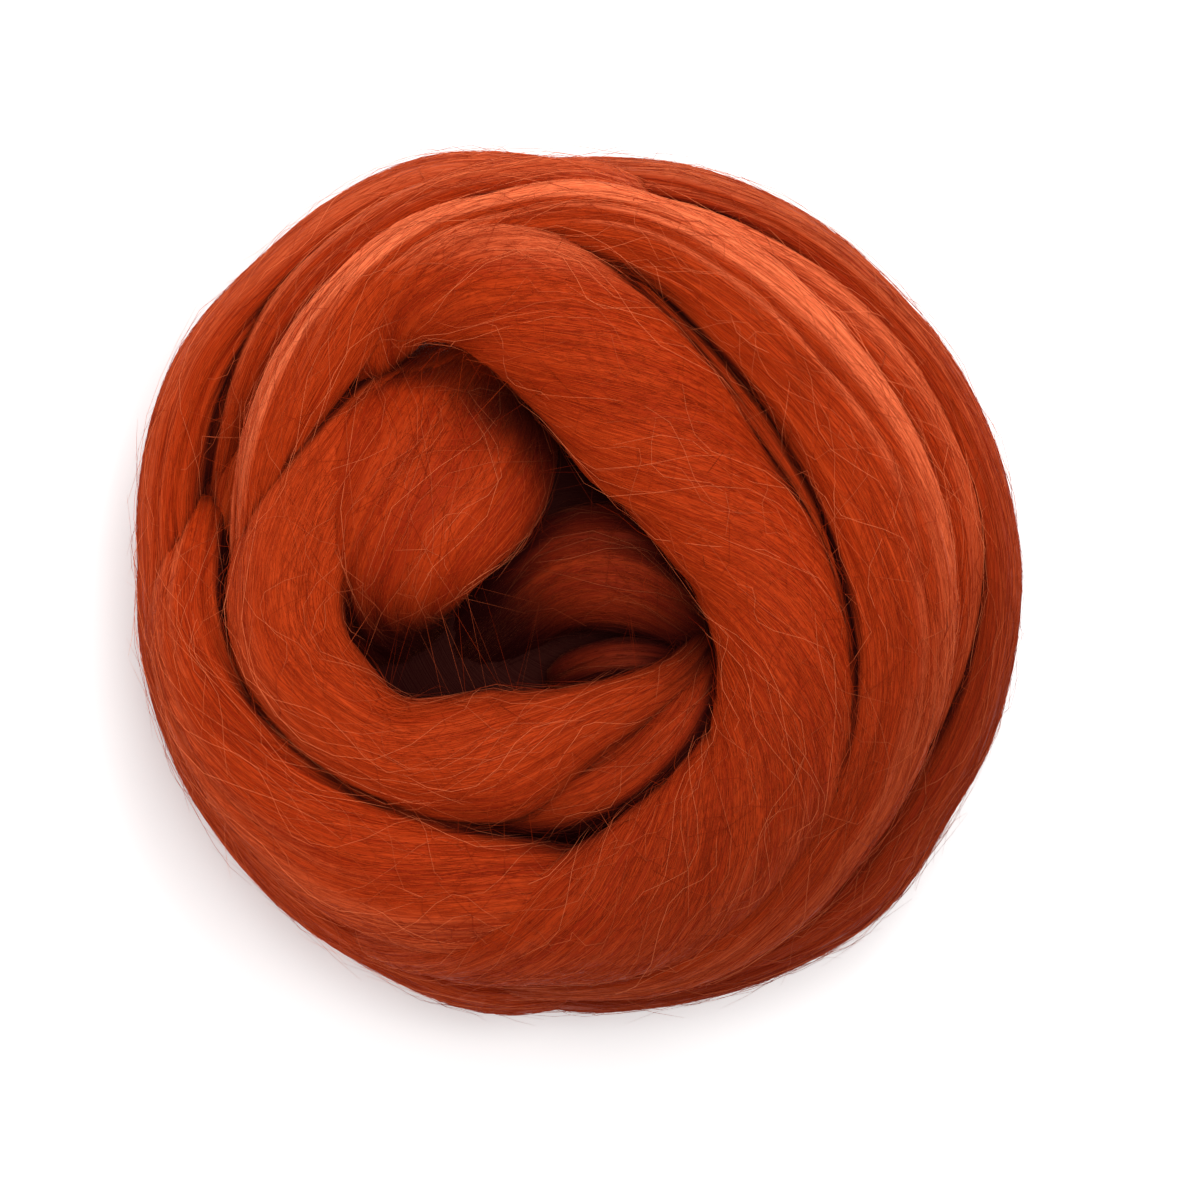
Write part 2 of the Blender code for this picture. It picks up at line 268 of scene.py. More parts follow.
# The rim, in two lengths that cross at the top and at the bottom.
RIM_LEFT = strand(
    (8, -58, 18, 14, 20),
    (-12.2, -61.2, 22, 15, 24, 4),
    (-30, -54.5, 25, 15, 26, 4),
    (-44.6, -43.8, 27, 15, 27, 4),
    (-56, -28.5, 28.5, 15, 27, 4),
    (-62.4, -11.2, 29, 14, 27, 4),
    (-64.2, 4, 29.5, 11.5, 26, 4),
    (-64.2, 15, 30, 11, 26, 4),
    (-61.5, 27.5, 30.5, 11, 26, 4),
    (-56.5, 37.3, 31, 11, 26, 4),
    (-48, 46.3, 31, 11, 26, 4),
    (-36, 56, 31, 11.5, 26, 4),
    (-22.5, 61.7, 31, 12, 25, 4),
    (-8, 61.5, 28, 13, 22, 4),
    (6, 58, 23, 13, 18, 4),
)
RIM_RIGHT = strand(
    (-22, 54, 22, 14, 18),
    (-6, 60, 27, 14, 23, 4),
    (10, 60.8, 30.5, 12.5, 26, 6),
    (23, 57.8, 31.5, 12, 26, 6),
    (36.3, 50.9, 31.5, 12, 26, 6),
    (48, 40.1, 31.5, 12, 26, 6),
    (55.4, 30.4, 31.5, 11.5, 26, 6),
    (61.3, 17.5, 31, 11, 26, 6),
    (64.2, 3, 30.5, 11, 26, 6),
    (63, -11, 29.5, 11.5, 26, 6),
    (58.8, -23.5, 28.5, 13, 26, 6),
    (51.8, -35.2, 27.5, 14, 26, 6),
    (44.5, -45.5, 27, 15, 25, 6),
    (35.2, -52.3, 26, 15, 25, 6),
    (23.4, -57.6, 24.5, 15, 23, 6),
    (11.2, -60.3, 22.5, 15, 22, 4),
    (-3, -61, 20, 14, 20, 4),
    (-18, -56, 16, 12, 16),
)

# A stage of the underside's spiral. deg is the angle about the nest's axis, reach the distance from it.
Stage = namedtuple("Stage", "deg reach z across deep lean")
UNDER_SPIRAL = [
    Stage(0, 15, 14, 10, 16, 0),
    Stage(-120, 20.5, 11.5, 16, 19, -2),
    Stage(-240, 28, 11.5, 18, 20, -4),
    Stage(-360, 34.5, 12.3, 19, 21, -8),
    Stage(-480, 41, 13.7, 20, 22, -12),
    Stage(-600, 47.5, 16, 21, 24, -16),
    Stage(-720, 53.5, 19, 21, 26, -16),
    Stage(-840, 56.5, 22.5, 18, 26, -10),
    Stage(-940, 57, 25, 14, 22, -4),
]
STAGE_SPLIT_DEG = 24
FLAT_SPOT_TRIM_MM = 0.8

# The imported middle, as flattened balls.
Ball = namedtuple("Ball", "z reach half_tall")
PACKED_MIDDLE = [
    Ball(22, 44, 11),
    Ball(12.5, 26, 13),
]

# How one turn looks. lay is the angle in degrees by which its fibres drift to its outer side, sides
# and step are the mesh's sides round it and its step along it in millimetres, fibres and glow are
# its shares of combed fibres and of painted glow, a painted highlight of fuzz, on its outer side, and
# tone is how much paler it is painted, a painted light; below 0 it is a painted shade that dims it.
Turn = namedtuple("Turn", "name sections lay sides step fibres glow tone seed")


def winding_sections(stages):
    """The sections of a winding, with enough of them between its stages to keep it round."""
    sections = []
    for a, b in zip(stages, stages[1:]):
        count = max(2, round(abs(b.deg - a.deg) / STAGE_SPLIT_DEG))
        for i in range(count + (b is stages[-1])):
            here = Stage(*(p + (q - p) * i / count for p, q in zip(a, b)))
            x = here.reach * np.cos(radians(here.deg))
            y = here.reach * np.sin(radians(here.deg))
            sections.append(Section(x, y, here.z, here.across, here.deep, here.lean))
    return sections


TOP_TURNS = [
    Turn("crown_turn", CROWN, 28, 112, 2.4, 1.0, 0.5, 0.0, 11),
    Turn("outer_loop", OUTER_LOOP, 7, 88, 2.4, 1.0, 1.0, 0.1, 12),
    Turn("caught_fold", CAUGHT_FOLD, 5, 40, 2.6, 1.0, 0.4, 0.0, 13),
    Turn("loose_fold", LOOSE_FOLD, 5, 56, 2.6, 1.0, 0.7, 0.0, 14),
    Turn("left_fold", LEFT_FOLD, 4, 52, 2.6, 1.0, 0.4, 0.0, 15),
    Turn("lobe", LOBE, 2, 120, 2.0, 1.0, 0.0, -0.05, 16),
    Turn("ring_turn", RING_TURN, 8, 84, 2.2, 1.0, 0.3, 0.15, 24),
    Turn("ring_fold", RING_FOLD, 6, 56, 2.2, 1.0, 0.0, 0.0, 17),
    Turn("deep_turn", DEEP_TURN, 4, 84, 2.2, 1.0, 0.0, -0.1, 18),
    Turn("small_fold", SMALL_FOLD, 4, 44, 2.0, 1.0, 0.0, 0.0, 19),
    Turn("left_sweep", LEFT_SWEEP, 12, 84, 2.4, 1.0, 0.7, 0.0, 20),
]
RIM_TURNS = [
    Turn("rim_left", RIM_LEFT, 3, 76, 3.0, 0.7, 0.35, 0.0, 21),
    Turn("rim_right", RIM_RIGHT, 3, 76, 3.0, 0.7, 0.5, -0.1, 22),
]
UNDER_TURNS = [
    Turn("under_spiral", winding_sections(UNDER_SPIRAL), 6, 56, 3.5, 0.4, 0.1, 0.0, 23),
]
ALL_TURNS = TOP_TURNS + RIM_TURNS + UNDER_TURNS

# A strand rounds off over its last millimetres, down to a share of its size, and it is never thinner.
END_MM = 6
TIP_SHARE = 0.03
LEAST_MM = 0.2

# Grooves between the locks of fibre: how wide a lock is and how deep its groove, in millimetres,
# and over what length along the strand the grooves wander.
Lock = namedtuple("Lock", "wide deep wander")
LOCKS = [
    Lock(9.0, 0.95, 70),
    Lock(4.2, 0.6, 50),
    Lock(2.0, 0.3, 34),
]


# Places between two sections from which a smooth route is measured.
ROUTE_SPLITS = 24


def smooth_route(sections, step):
    """Distances along a smooth route through the sections, and x, y, z, across, deep, lean at each."""
    given = np.array(sections, float)
    ends = np.vstack([given[:1], given, given[-1:]])
    p0, p1, p2, p3 = ends[:-3, None], ends[1:-2, None], ends[2:-1, None], ends[3:, None]
    t = np.linspace(0, 1, ROUTE_SPLITS, endpoint=False)[None, :, None]
    rows = 0.5 * (
        2 * p1
        + (p2 - p0) * t
        + (2 * p0 - 5 * p1 + 4 * p2 - p3) * t**2
        + (3 * p1 - p0 - 3 * p2 + p3) * t**3
    )
    rows = np.vstack([rows.reshape(-1, given.shape[1]), given[-1:]])
    run = np.concatenate([[0], np.cumsum(np.linalg.norm(np.diff(rows[:, :3], axis=0), axis=1))])
    even = np.linspace(0, run[-1], max(8, round(run[-1] / step)))
    return even, np.stack([np.interp(even, run, column) for column in rows.T], 1)


def frames_along(rows):
    """The wide side and the upward side of a strand at each row."""
    ahead = np.gradient(rows[:, :3], axis=0)
    ahead /= np.linalg.norm(ahead, axis=1)[:, None]
    right = np.cross(ahead, (0, 0, 1))
    right /= np.linalg.norm(right, axis=1)[:, None]
    tip = np.radians(rows[:, 5])[:, None]
    wide = right * np.cos(tip) + np.array((0, 0, 1)) * np.sin(tip)
    wide /= np.linalg.norm(wide, axis=1)[:, None]
    normal = np.cross(wide, ahead)
    normal /= np.linalg.norm(normal, axis=1)[:, None]
    return wide, normal


# A soft pattern is a sum of waves: how many, the spread of their crests and of their lengths, and
# what their sum is divided by.
WAVE_COUNT = 4
WAVE_CRESTS = (0.6, 1.5)
WAVE_LENGTHS = (0.8, 2.5)
WAVE_SUM = 2.4


def waves(random, lay_angle, run, count, wander):
    """A soft pattern between about -1 and 1 that follows the lay, with count crests round the strand."""
    total = np.zeros(np.broadcast(lay_angle, run).shape)
    for _ in range(WAVE_COUNT):
        crests = max(1, round(count * random.uniform(*WAVE_CRESTS)))
        length = wander * random.uniform(*WAVE_LENGTHS)
        total = total + np.sin(crests * lay_angle + tau * run / length + random.uniform(0, tau))
    return total / WAVE_SUM


# How far grooves sway round the strand, how much of their depth stays and how much swells and
# fades along the run, the most that a swell gives, and how sharp the crests between them are.
GROOVE_SWAY = 1.1
GROOVE_STAYS = 0.55
GROOVE_SWELLS = 0.45
GROOVE_MOST = 1.2
CREST_POWER = 0.7


def groove_depth(lay_angle, run, girth, seed):
    """How far the skin sinks between locks, in millimetres, at each lay angle and place along the run."""
    random = np.random.default_rng(seed)
    depth = np.zeros(lay_angle.shape)
    for lock in LOCKS:
        count = max(3, round(girth / lock.wide))
        sway = waves(random, lay_angle, run, 2, lock.wander) * GROOVE_SWAY
        crest = np.abs(np.cos(count * lay_angle / 2 + random.uniform(0, tau) + sway))
        swell = waves(random, lay_angle, run, 3, lock.wander * 1.5)
        swell = np.clip(GROOVE_STAYS + GROOVE_SWELLS * swell, 0, GROOVE_MOST)
        depth += lock.deep * swell * (1 - crest**CREST_POWER)
    return depth


def strand_girth(rows):
    """Mean distance round a strand, in millimetres."""
    across, deep = rows[:, 3], rows[:, 4]
    return (pi * (1.5 * (across + deep) / 2 - np.sqrt(across * deep) / 2)).mean()


def strand_places(rows, run, angle, sink):
    """Places on a strand's skin in millimetres: its ellipse at each row, less the grooves' depth."""
    wide, normal = frames_along(rows)
    end = np.minimum(run, run[-1] - run)[:, None] / END_MM
    taper = np.sqrt(1 - (1 - np.clip(end, 0, 1)) ** 2) * (1 - TIP_SHARE) + TIP_SHARE
    u = np.maximum(rows[:, 3:4] / 2 * taper - sink, LEAST_MM) * np.cos(angle)
    v = np.maximum(rows[:, 4:5] / 2 * taper - sink, LEAST_MM) * np.sin(angle)
    places = rows[:, None, :3] + u[..., None] * wide[:, None] + v[..., None] * normal[:, None]
    places[..., 2] = np.maximum(places[..., 2] - FLAT_SPOT_TRIM_MM, 0)
    return places


def tube_points(places):
    """The points of a tube's rings, then the middles of its two ends, in metres."""
    return np.vstack([places.reshape(-1, 3), places[0].mean(0), places[-1].mean(0)]) * MM


def tube_faces(rings, sides, base=0):
    """Quads of a tube of rings, then the triangles of its two end fans, outwards, counted from base."""
    i, k = np.meshgrid(np.arange(rings - 1), np.arange(sides), indexing="ij")
    nxt = (k + 1) % sides
    quads = np.stack([i * sides + k, (i + 1) * sides + k, (i + 1) * sides + nxt, i * sides + nxt], -1)
    k, last = np.arange(sides), (rings - 1) * sides
    nxt = (k + 1) % sides
    near = np.stack([np.full(sides, rings * sides), k, nxt], 1)
    far = np.stack([np.full(sides, rings * sides + 1), last + nxt, last + k], 1)
    return [face for part in (quads.reshape(-1, 4), near, far) for face in (part + base).tolist()]


def surroundings():
    """All turns, coarsely, to find where they paint shade on each other."""
    points, faces = [], []
    step, sides, mean_groove = 3.5, 24, 0.6
    for turn in ALL_TURNS:
        run, rows = smooth_route(turn.sections, step)
        angle = np.linspace(0, tau, sides, endpoint=False)[None, :]
        places = strand_places(rows, run, angle, np.full((len(run), sides), mean_groove))
        faces += tube_faces(len(run), sides, len(points))
        points += tube_points(places).tolist()
    return BVHTree.FromPolygons(points, faces)


def sky_directions(count):
    """Directions spread evenly over the upper half of a ball, more of them near its top."""
    k = np.arange(count) + 0.5
    z = np.sqrt(1 - k / count * SKY_SHARE)
    angle = k * pi * (3 - np.sqrt(5))
    side = np.sqrt(1 - z * z)
    return np.stack([side * np.cos(angle), side * np.sin(angle), z], 1)


def openness(points, normals, around):
    """How much free space each place looks out on, near by and farther off, each from 0 to 1."""
    sky = sky_directions(RAYS)
    helper = np.where(np.abs(normals[:, 2:3]) < 0.9, [[0.0, 0.0, 1.0]], [[1.0, 0.0, 0.0]])
    side = np.cross(normals, helper)
    side /= np.linalg.norm(side, axis=1)[:, None]
    other = np.cross(normals, side)
    near, far = np.zeros(len(points)), np.zeros(len(points))
    start = points + normals * RAY_START
    for x, y, z in sky:
        ways = side * x + other * y + normals * z
        for i, (place, way) in enumerate(zip(start.tolist(), ways.tolist())):
            distance = around.ray_cast(place, way, FAR)[3]
            near[i] += 1 if distance is None else min(1, distance / NEAR)
            far[i] += 1 if distance is None else distance / FAR
    return near / len(sky), far / len(sky)


def smooth_step(low, high, value):
    """0 below low, 1 above high, and a soft climb between them."""
    share = np.clip((value - low) / (high - low), 0, 1)
    return share * share * (3 - 2 * share)


# A well is a round place where painted shade falls from its brim to its floor, by a share, dims.
# It fades out from radius to edge. All but the share are in millimetres.
Well = namedtuple("Well", "x y radius edge floor brim dims")
HOLLOW = Well(0.0, -5.0, 34.0, 42.0, 38.0, 58.0, 0.87)
PIT = Well(-19.0, -12.0, 10.0, 18.0, 36.0, 50.0, 0.97)

# Each pair is the value at which an effect starts and the one at which it is full.
# How open a place has to be near by and farther off to be painted as lit, not in painted shade. The hollow
# asks for more.
LIT_NEAR = (-0.1, 0.66)
LIT_FAR = (0.05, 0.67)
HOLLOW_ASKS = 0.25
# Painted shade makes the wool dimmer towards its lee side, away from the window light, by a share, from so
# many metres out.
LEE_WAY = (0.6, -0.8)
LEE_REACH = (0.012, 0.06)
LEE_PAINTED_SHADE = 0.4
# A painted glow, a painted highlight of lit fuzz, pales the wool where the skin turns outwards, near the
# rim, and most on the side of the window light.
GLOW_OUTWARD = (0.2, 0.75)
GLOW_REACH = (0.042, 0.056)
WINDOW_WAY = (0.0, 1.0)
GLOW_WINDOWWARD = (0.15, 0.95)
GLOW_ELSEWHERE = 0.35
# How much painted shade dims a turn with a tone below 0, and the share of painted light that the imported
# middle keeps, so that its colour is painted deep in shade.
TONE_PAINTED_SHADE = 1.4
PACKED_TONE = 0.4
PACKED_SHADE = 0.05


def within(points, well):
    """How far each place is within a well's round, seen from above, from 0 to 1."""
    aside = np.hypot(points[:, 0] - well.x * MM, points[:, 1] - well.y * MM)
    return 1 - smooth_step(well.radius * MM, well.edge * MM, aside)


def painted_light_in(points, well):
    """How much painted light is left at each place in a well, from 0 to 1."""
    down = 1 - smooth_step(well.floor * MM, well.brim * MM, points[:, 2])
    return 1 - well.dims * within(points, well) * down


def painted_light_and_glow(points, normals, around):
    """How much painted light each place gets, less painted shade in creases, wells and on the lee side, and
    how much painted glow of lit fuzz it gets, from 0 to 1.
    """
    near, far = openness(points, normals, around)
    asked = LIT_FAR[1] + HOLLOW_ASKS * within(points, HOLLOW)
    shade = smooth_step(*LIT_NEAR, near) * smooth_step(LIT_FAR[0], asked, far)
    shade = shade * painted_light_in(points, HOLLOW) * painted_light_in(points, PIT)
    shade = shade * (1 - LEE_PAINTED_SHADE * smooth_step(*LEE_REACH, points[:, :2] @ LEE_WAY))
    reach = np.maximum(np.hypot(points[:, 0], points[:, 1]), MM)
    outward = (points[:, :2] * normals[:, :2]).sum(1) / reach
    windowward = smooth_step(*GLOW_WINDOWWARD, points[:, :2] @ WINDOW_WAY / reach)
    glow = smooth_step(*GLOW_OUTWARD, outward) * smooth_step(*GLOW_REACH, reach) * shade
    return shade, glow * (GLOW_ELSEWHERE + (1 - GLOW_ELSEWHERE) * windowward)


def note(mesh, name, values):
    """Stores a number, or a vector where values has three columns, at each point of the mesh."""
    kind, key = (VECTOR, "vector") if np.ndim(values) == 2 else ("FLOAT", "value")
    mesh.attributes.new(name, kind, "POINT").data.foreach_set(key, np.ravel(values))


def point_normals(mesh):
    normals = np.empty(len(mesh.vertices) * 3)
    mesh.vertices.foreach_get("normal", normals)
    return normals.reshape(-1, 3)


# The wool's tone changes in streaks along the lay: by how much, how many millimetres wide they are
# and over what length they wander. A painted shade makes it dimmer in a groove.
MIDDLE_TONE = 0.5
Streak = namedtuple("Streak", "change wide wander")
STREAKS = [Streak(0.10, 3, 60), Streak(0.12, 9, 90)]
GROOVE_PAINTED_SHADE = 0.45
# The share of the bake map's width that the fan at each end of a strand takes.
FAN_SHARE = 0.01


def strand_mesh(turn, skin, around):
    """A closed, grooved strand with its bake map and all that its fibres need to know."""
    run, rows = smooth_route(turn.sections, turn.step)
    angle = np.linspace(0, tau, turn.sides, endpoint=False)[None, :]
    girth = strand_girth(rows)
    turn_rate = np.tan(radians(turn.lay)) * tau / girth
    lay_angle = angle - turn_rate * run[:, None]
    sink = groove_depth(lay_angle, run[:, None], girth, turn.seed)
    places = strand_places(rows, run, angle, sink)
    rings, sides = places.shape[:2]
    points = tube_points(places)
    mesh = bpy.data.meshes.new(turn.name)
    mesh.from_pydata(points.tolist(), [], tube_faces(rings, sides))
    mesh.shade_smooth()

    share = run / run[-1] * (1 - 2 * FAN_SHARE) + FAN_SHARE
    i, k = np.meshgrid(np.arange(rings - 1), np.arange(sides), indexing="ij")
    along = np.stack([share[i], share[i + 1], share[i + 1], share[i]], -1)
    beside = np.stack([k, k, k + 1, k + 1], -1) / sides
    k = np.arange(sides)
    fan_v = np.stack([k + 0.5, k, k + 1], 1) / sides
    fan_u = np.broadcast_to([0, FAN_SHARE, FAN_SHARE], (sides, 3))
    corners = [
        np.stack([along, beside], -1).reshape(-1, 2),
        np.stack([fan_u, fan_v], -1).reshape(-1, 2),
        np.stack([1 - fan_u, np.stack([k + 0.5, k + 1, k], 1) / sides], -1).reshape(-1, 2),
    ]
    mesh.uv_layers.new(name=BAKE_MAP).data.foreach_set("uv", np.vstack(corners).ravel())

    shade, glow = painted_light_and_glow(points, point_normals(mesh), around)
    sunk = np.append(sink.ravel(), (0, 0)) / sum(lock.deep for lock in LOCKS)
    random = np.random.default_rng(turn.seed + TONE_SEED)
    tone = MIDDLE_TONE
    for streak in STREAKS:
        pattern = waves(random, lay_angle, run[:, None], girth / streak.wide, streak.wander)
        tone = tone + streak.change * pattern
    # Each turn's tone adds a painted light, or below 0 a painted shade, and its grooves get a painted shade.
    tone = np.append(tone.ravel(), (MIDDLE_TONE, MIDDLE_TONE)) + turn.tone - GROOVE_PAINTED_SHADE * sunk
    round_mm = girth / tau
    spread = np.broadcast_to(run[:, None], lay_angle.shape)
    lay = np.stack([spread, round_mm * np.cos(lay_angle), round_mm * np.sin(lay_angle)], -1)
    lay = np.vstack([lay.reshape(-1, 3), lay[0, :1], lay[-1, :1]])
    # The painted light, dimmed by painted shade for a turn with a tone below 0, and the painted glow.
    note(mesh, "shade", shade * (1 + TONE_PAINTED_SHADE * min(turn.tone, 0)))
    note(mesh, "glow", glow * turn.glow)
    note(mesh, "tone", np.clip(tone, 0, 1))
    note(mesh, "cover", fibre_cover(points, skin) * turn.fibres)
    note(mesh, "lay_rate", np.full(len(points), turn_rate * run[-1] / tau))
    note(mesh, "run_length", np.full(len(points), run[-1] * MM))
    note(mesh, "lay_place", lay)
    return mesh


# Fibres thin out over the last millimetres before this depth, and to a share of their number where
# the skin turns from facing up to facing down.
COVER_DEEP_MM = 3.4
COVER_FADE_MM = 1.5
COVER_TURN = 0.2
COVER_SPAN = 0.7
UNDER_COVER = 0.3


def fibre_cover(points, skin):
    """How thickly fibres cover each place: fully on the skin of the nest, and not at all inside it."""
    cover = np.zeros(len(points))
    for i, place in enumerate(map(Vector, points.tolist())):
        near, normal, _, distance = skin.find_nearest(place)
        depth = distance / MM if (place - near).dot(normal) < 0 else 0.0
        facing = min(1.0, max(0.0, (normal.z + COVER_TURN) / COVER_SPAN))
        facing = UNDER_COVER + (1 - UNDER_COVER) * facing
        cover[i] = min(1.0, max(0.0, (COVER_DEEP_MM - depth) / COVER_FADE_MM)) * facing
    return cover


class Tree:
    """Adds nodes to a tree and links them."""

    def __init__(self, tree):
        self.tree = tree

    def feed(self, socket, value):
        """Links a node or a socket to socket, or sets a plain value there."""
        if isinstance(value, bpy.types.Node):
            value = value.outputs[0]
        if isinstance(value, bpy.types.NodeSocket):
            self.tree.links.new(value, socket)
        else:
            socket.default_value = value

    def add(self, kind, values=None, **settings):
        node = self.tree.nodes.new(kind)
        for key, value in settings.items():
            setattr(node, key, value)
        for key, value in (values or {}).items():
            self.feed(node.inputs[key], value)
        return node

    def math(self, operation, a, b=0.0, clamp=False):
        return self.add("ShaderNodeMath", {0: a, 1: b}, operation=operation, use_clamp=clamp)

    def total(self, *values):
        """The sum of all values."""
        return reduce(lambda a, b: self.math("ADD", a, b), values)

    def product(self, *values):
        return reduce(lambda a, b: self.math("MULTIPLY", a, b), values)

    def vector(self, operation, a, b=(0, 0, 0)):
        return self.add("ShaderNodeVectorMath", {0: a, 1: b}, operation=operation)

    def scaled(self, vector, scale):
        return self.add("ShaderNodeVectorMath", {0: vector, "Scale": scale}, operation="SCALE")

    def split(self, vector):
        """The x, y and z of a vector."""
        return self.add("ShaderNodeSeparateXYZ", {0: vector}).outputs

    def joined(self, x, y, z=0.0):
        return self.add("ShaderNodeCombineXYZ", {0: x, 1: y, 2: z})

    def attribute(self, name, out="Fac"):
        return self.add("ShaderNodeAttribute", attribute_name=name).outputs[out]

    def noise(self, place, scale=1.0, detail=2.0, roughness=0.5):
        values = {"Vector": place, "Scale": scale, "Detail": detail, "Roughness": roughness}
        return self.add("ShaderNodeTexNoise", values)

    def mix(self, share, first, second):
        """The colour that is first at a share of 0 and second at a share of 1."""
        return self.add("ShaderNodeMix", {0: share, 6: first, 7: second}, data_type="RGBA").outputs[2]


# The inputs of both trees, and those of each one.
INPUTS = ("Shortest", "Longest", "Thinnest", "Thickest", "Lowest", "Highest", "Rings", "Seed", "Material")
COMB_INPUTS = ("Fibres per Square Metre", *INPUTS, "Flatness", "Loft", "Stray", "Curl", "Tip Lift")
WISP_INPUTS = ("Wisps per Square Metre", *INPUTS, "Swing", "Bend")
# The kinds of the inputs that are not plain numbers.
INPUT_KINDS = {"Rings": "NodeSocketInt", "Seed": "NodeSocketInt", "Material": "NodeSocketMaterial"}


class FibreTree(Tree):
    """A Geometry Nodes tree that turns a mesh into fibres, with these inputs."""

    def __init__(self, name, inputs):
        super().__init__(bpy.data.node_groups.new(name, "GeometryNodeTree"))
        interface = self.tree.interface
        interface.new_socket("Mesh", in_out="INPUT", socket_type="NodeSocketGeometry")
        for label in inputs:
            kind = INPUT_KINDS.get(label, "NodeSocketFloat")
            interface.new_socket(label, in_out="INPUT", socket_type=kind)
        interface.new_socket("Fibres", in_out="OUTPUT", socket_type="NodeSocketGeometry")
        self.given = self.add("NodeGroupInput").outputs

    def named(self, name, kind="FLOAT"):
        node = self.add("GeometryNodeInputNamedAttribute", {"Name": name}, data_type=kind)
        return node.outputs["Attribute"]

    def chance(self, low, high, step):
        """A random value between low and high. Each step draws its own."""
        seed = self.total(self.given["Seed"], float(step))
        node = self.add("FunctionNodeRandomValue", {"Seed": seed}, data_type="FLOAT")
        self.feed(node.inputs[2], low)
        self.feed(node.inputs[3], high)
        return node.outputs[1]

    def chance_round_zero(self, label, step):
        """A random value between minus and plus the input with this label."""
        most = self.given[label]
        return self.chance(self.product(most, -1.0), most, step)

    def store(self, geometry, name, value, kind="FLOAT"):
        values = {"Geometry": geometry, "Name": name, "Value": value}
        return self.add("GeometryNodeStoreNamedAttribute", values, data_type=kind)

    def scattered(self, label):
        """Points on the mesh, as many as the input with this label and the cover attribute give."""
        density = self.product(self.given[label], self.named("cover"))
        scatter = {"Mesh": self.given["Mesh"], "Density": density, "Seed": self.given["Seed"]}
        return self.add("GeometryNodeDistributePointsOnFaces", scatter).outputs["Points"]

    def laid(self, roots):
        """A straight line of as many points as a fibre has rings, at each root."""
        line = self.add("GeometryNodeCurvePrimitiveLine", {"Start": (0, 0, 0), "End": (1, 0, 0)})
        line = self.add("GeometryNodeResampleCurve", {"Curve": line, "Count": self.given["Rings"]})
        lines = self.add("GeometryNodeInstanceOnPoints", {"Points": roots, "Instance": line})
        return self.add("GeometryNodeRealizeInstances", {"Geometry": lines})

    def place(self):
        return self.add("GeometryNodeInputPosition")

    def facing(self):
        return self.add("GeometryNodeInputNormal")

    def moved(self, geometry, place):
        return self.add("GeometryNodeSetPosition", {"Geometry": geometry, "Position": place})

    def above_floor(self):
        """Each point's place, raised to the floor where it lies below it."""
        x, y, z = self.split(self.place())
        return self.joined(x, y, self.math("MAXIMUM", z, 0.0))

    def spun(self, curve, thick, flatness):
        """Closed three-sided tubes along the curves, in the given material."""
        ring = self.add("GeometryNodeCurvePrimitiveCircle", {"Resolution": 3, "Radius": 1.0})
        ring = {"Geometry": ring, "Scale": self.joined(flatness, 1.0, 1.0)}
        ring = self.add("GeometryNodeTransform", ring)
        tube = {"Curve": curve, "Profile Curve": ring, "Scale": thick, "Fill Caps": True}
        tube = self.add("GeometryNodeCurveToMesh", tube)
        tube = self.add("GeometryNodeSetShadeSmooth", {"Geometry": tube})
        tube = self.add("GeometryNodeRealizeInstances", {"Geometry": tube})
        tube = self.moved(tube, self.above_floor())
        tube = {"Geometry": tube, "Material": self.given["Material"]}
        self.add("NodeGroupOutput", {0: self.add("GeometryNodeSetMaterial", tube)})


# A combed fibre keeps off a strand's ends by a share of its run, sways and swells in waves, in
# radians from end to end, lifts towards its tips by a power, and slims there.
KEEPS_OFF = 0.012
SWAY_WAVES = 7.0
SWELL_WAVES = 9.0
SWELL_SHIFT = 1.7
TIP_POWER = 3.0
COMBED_SLIMS = 0.85


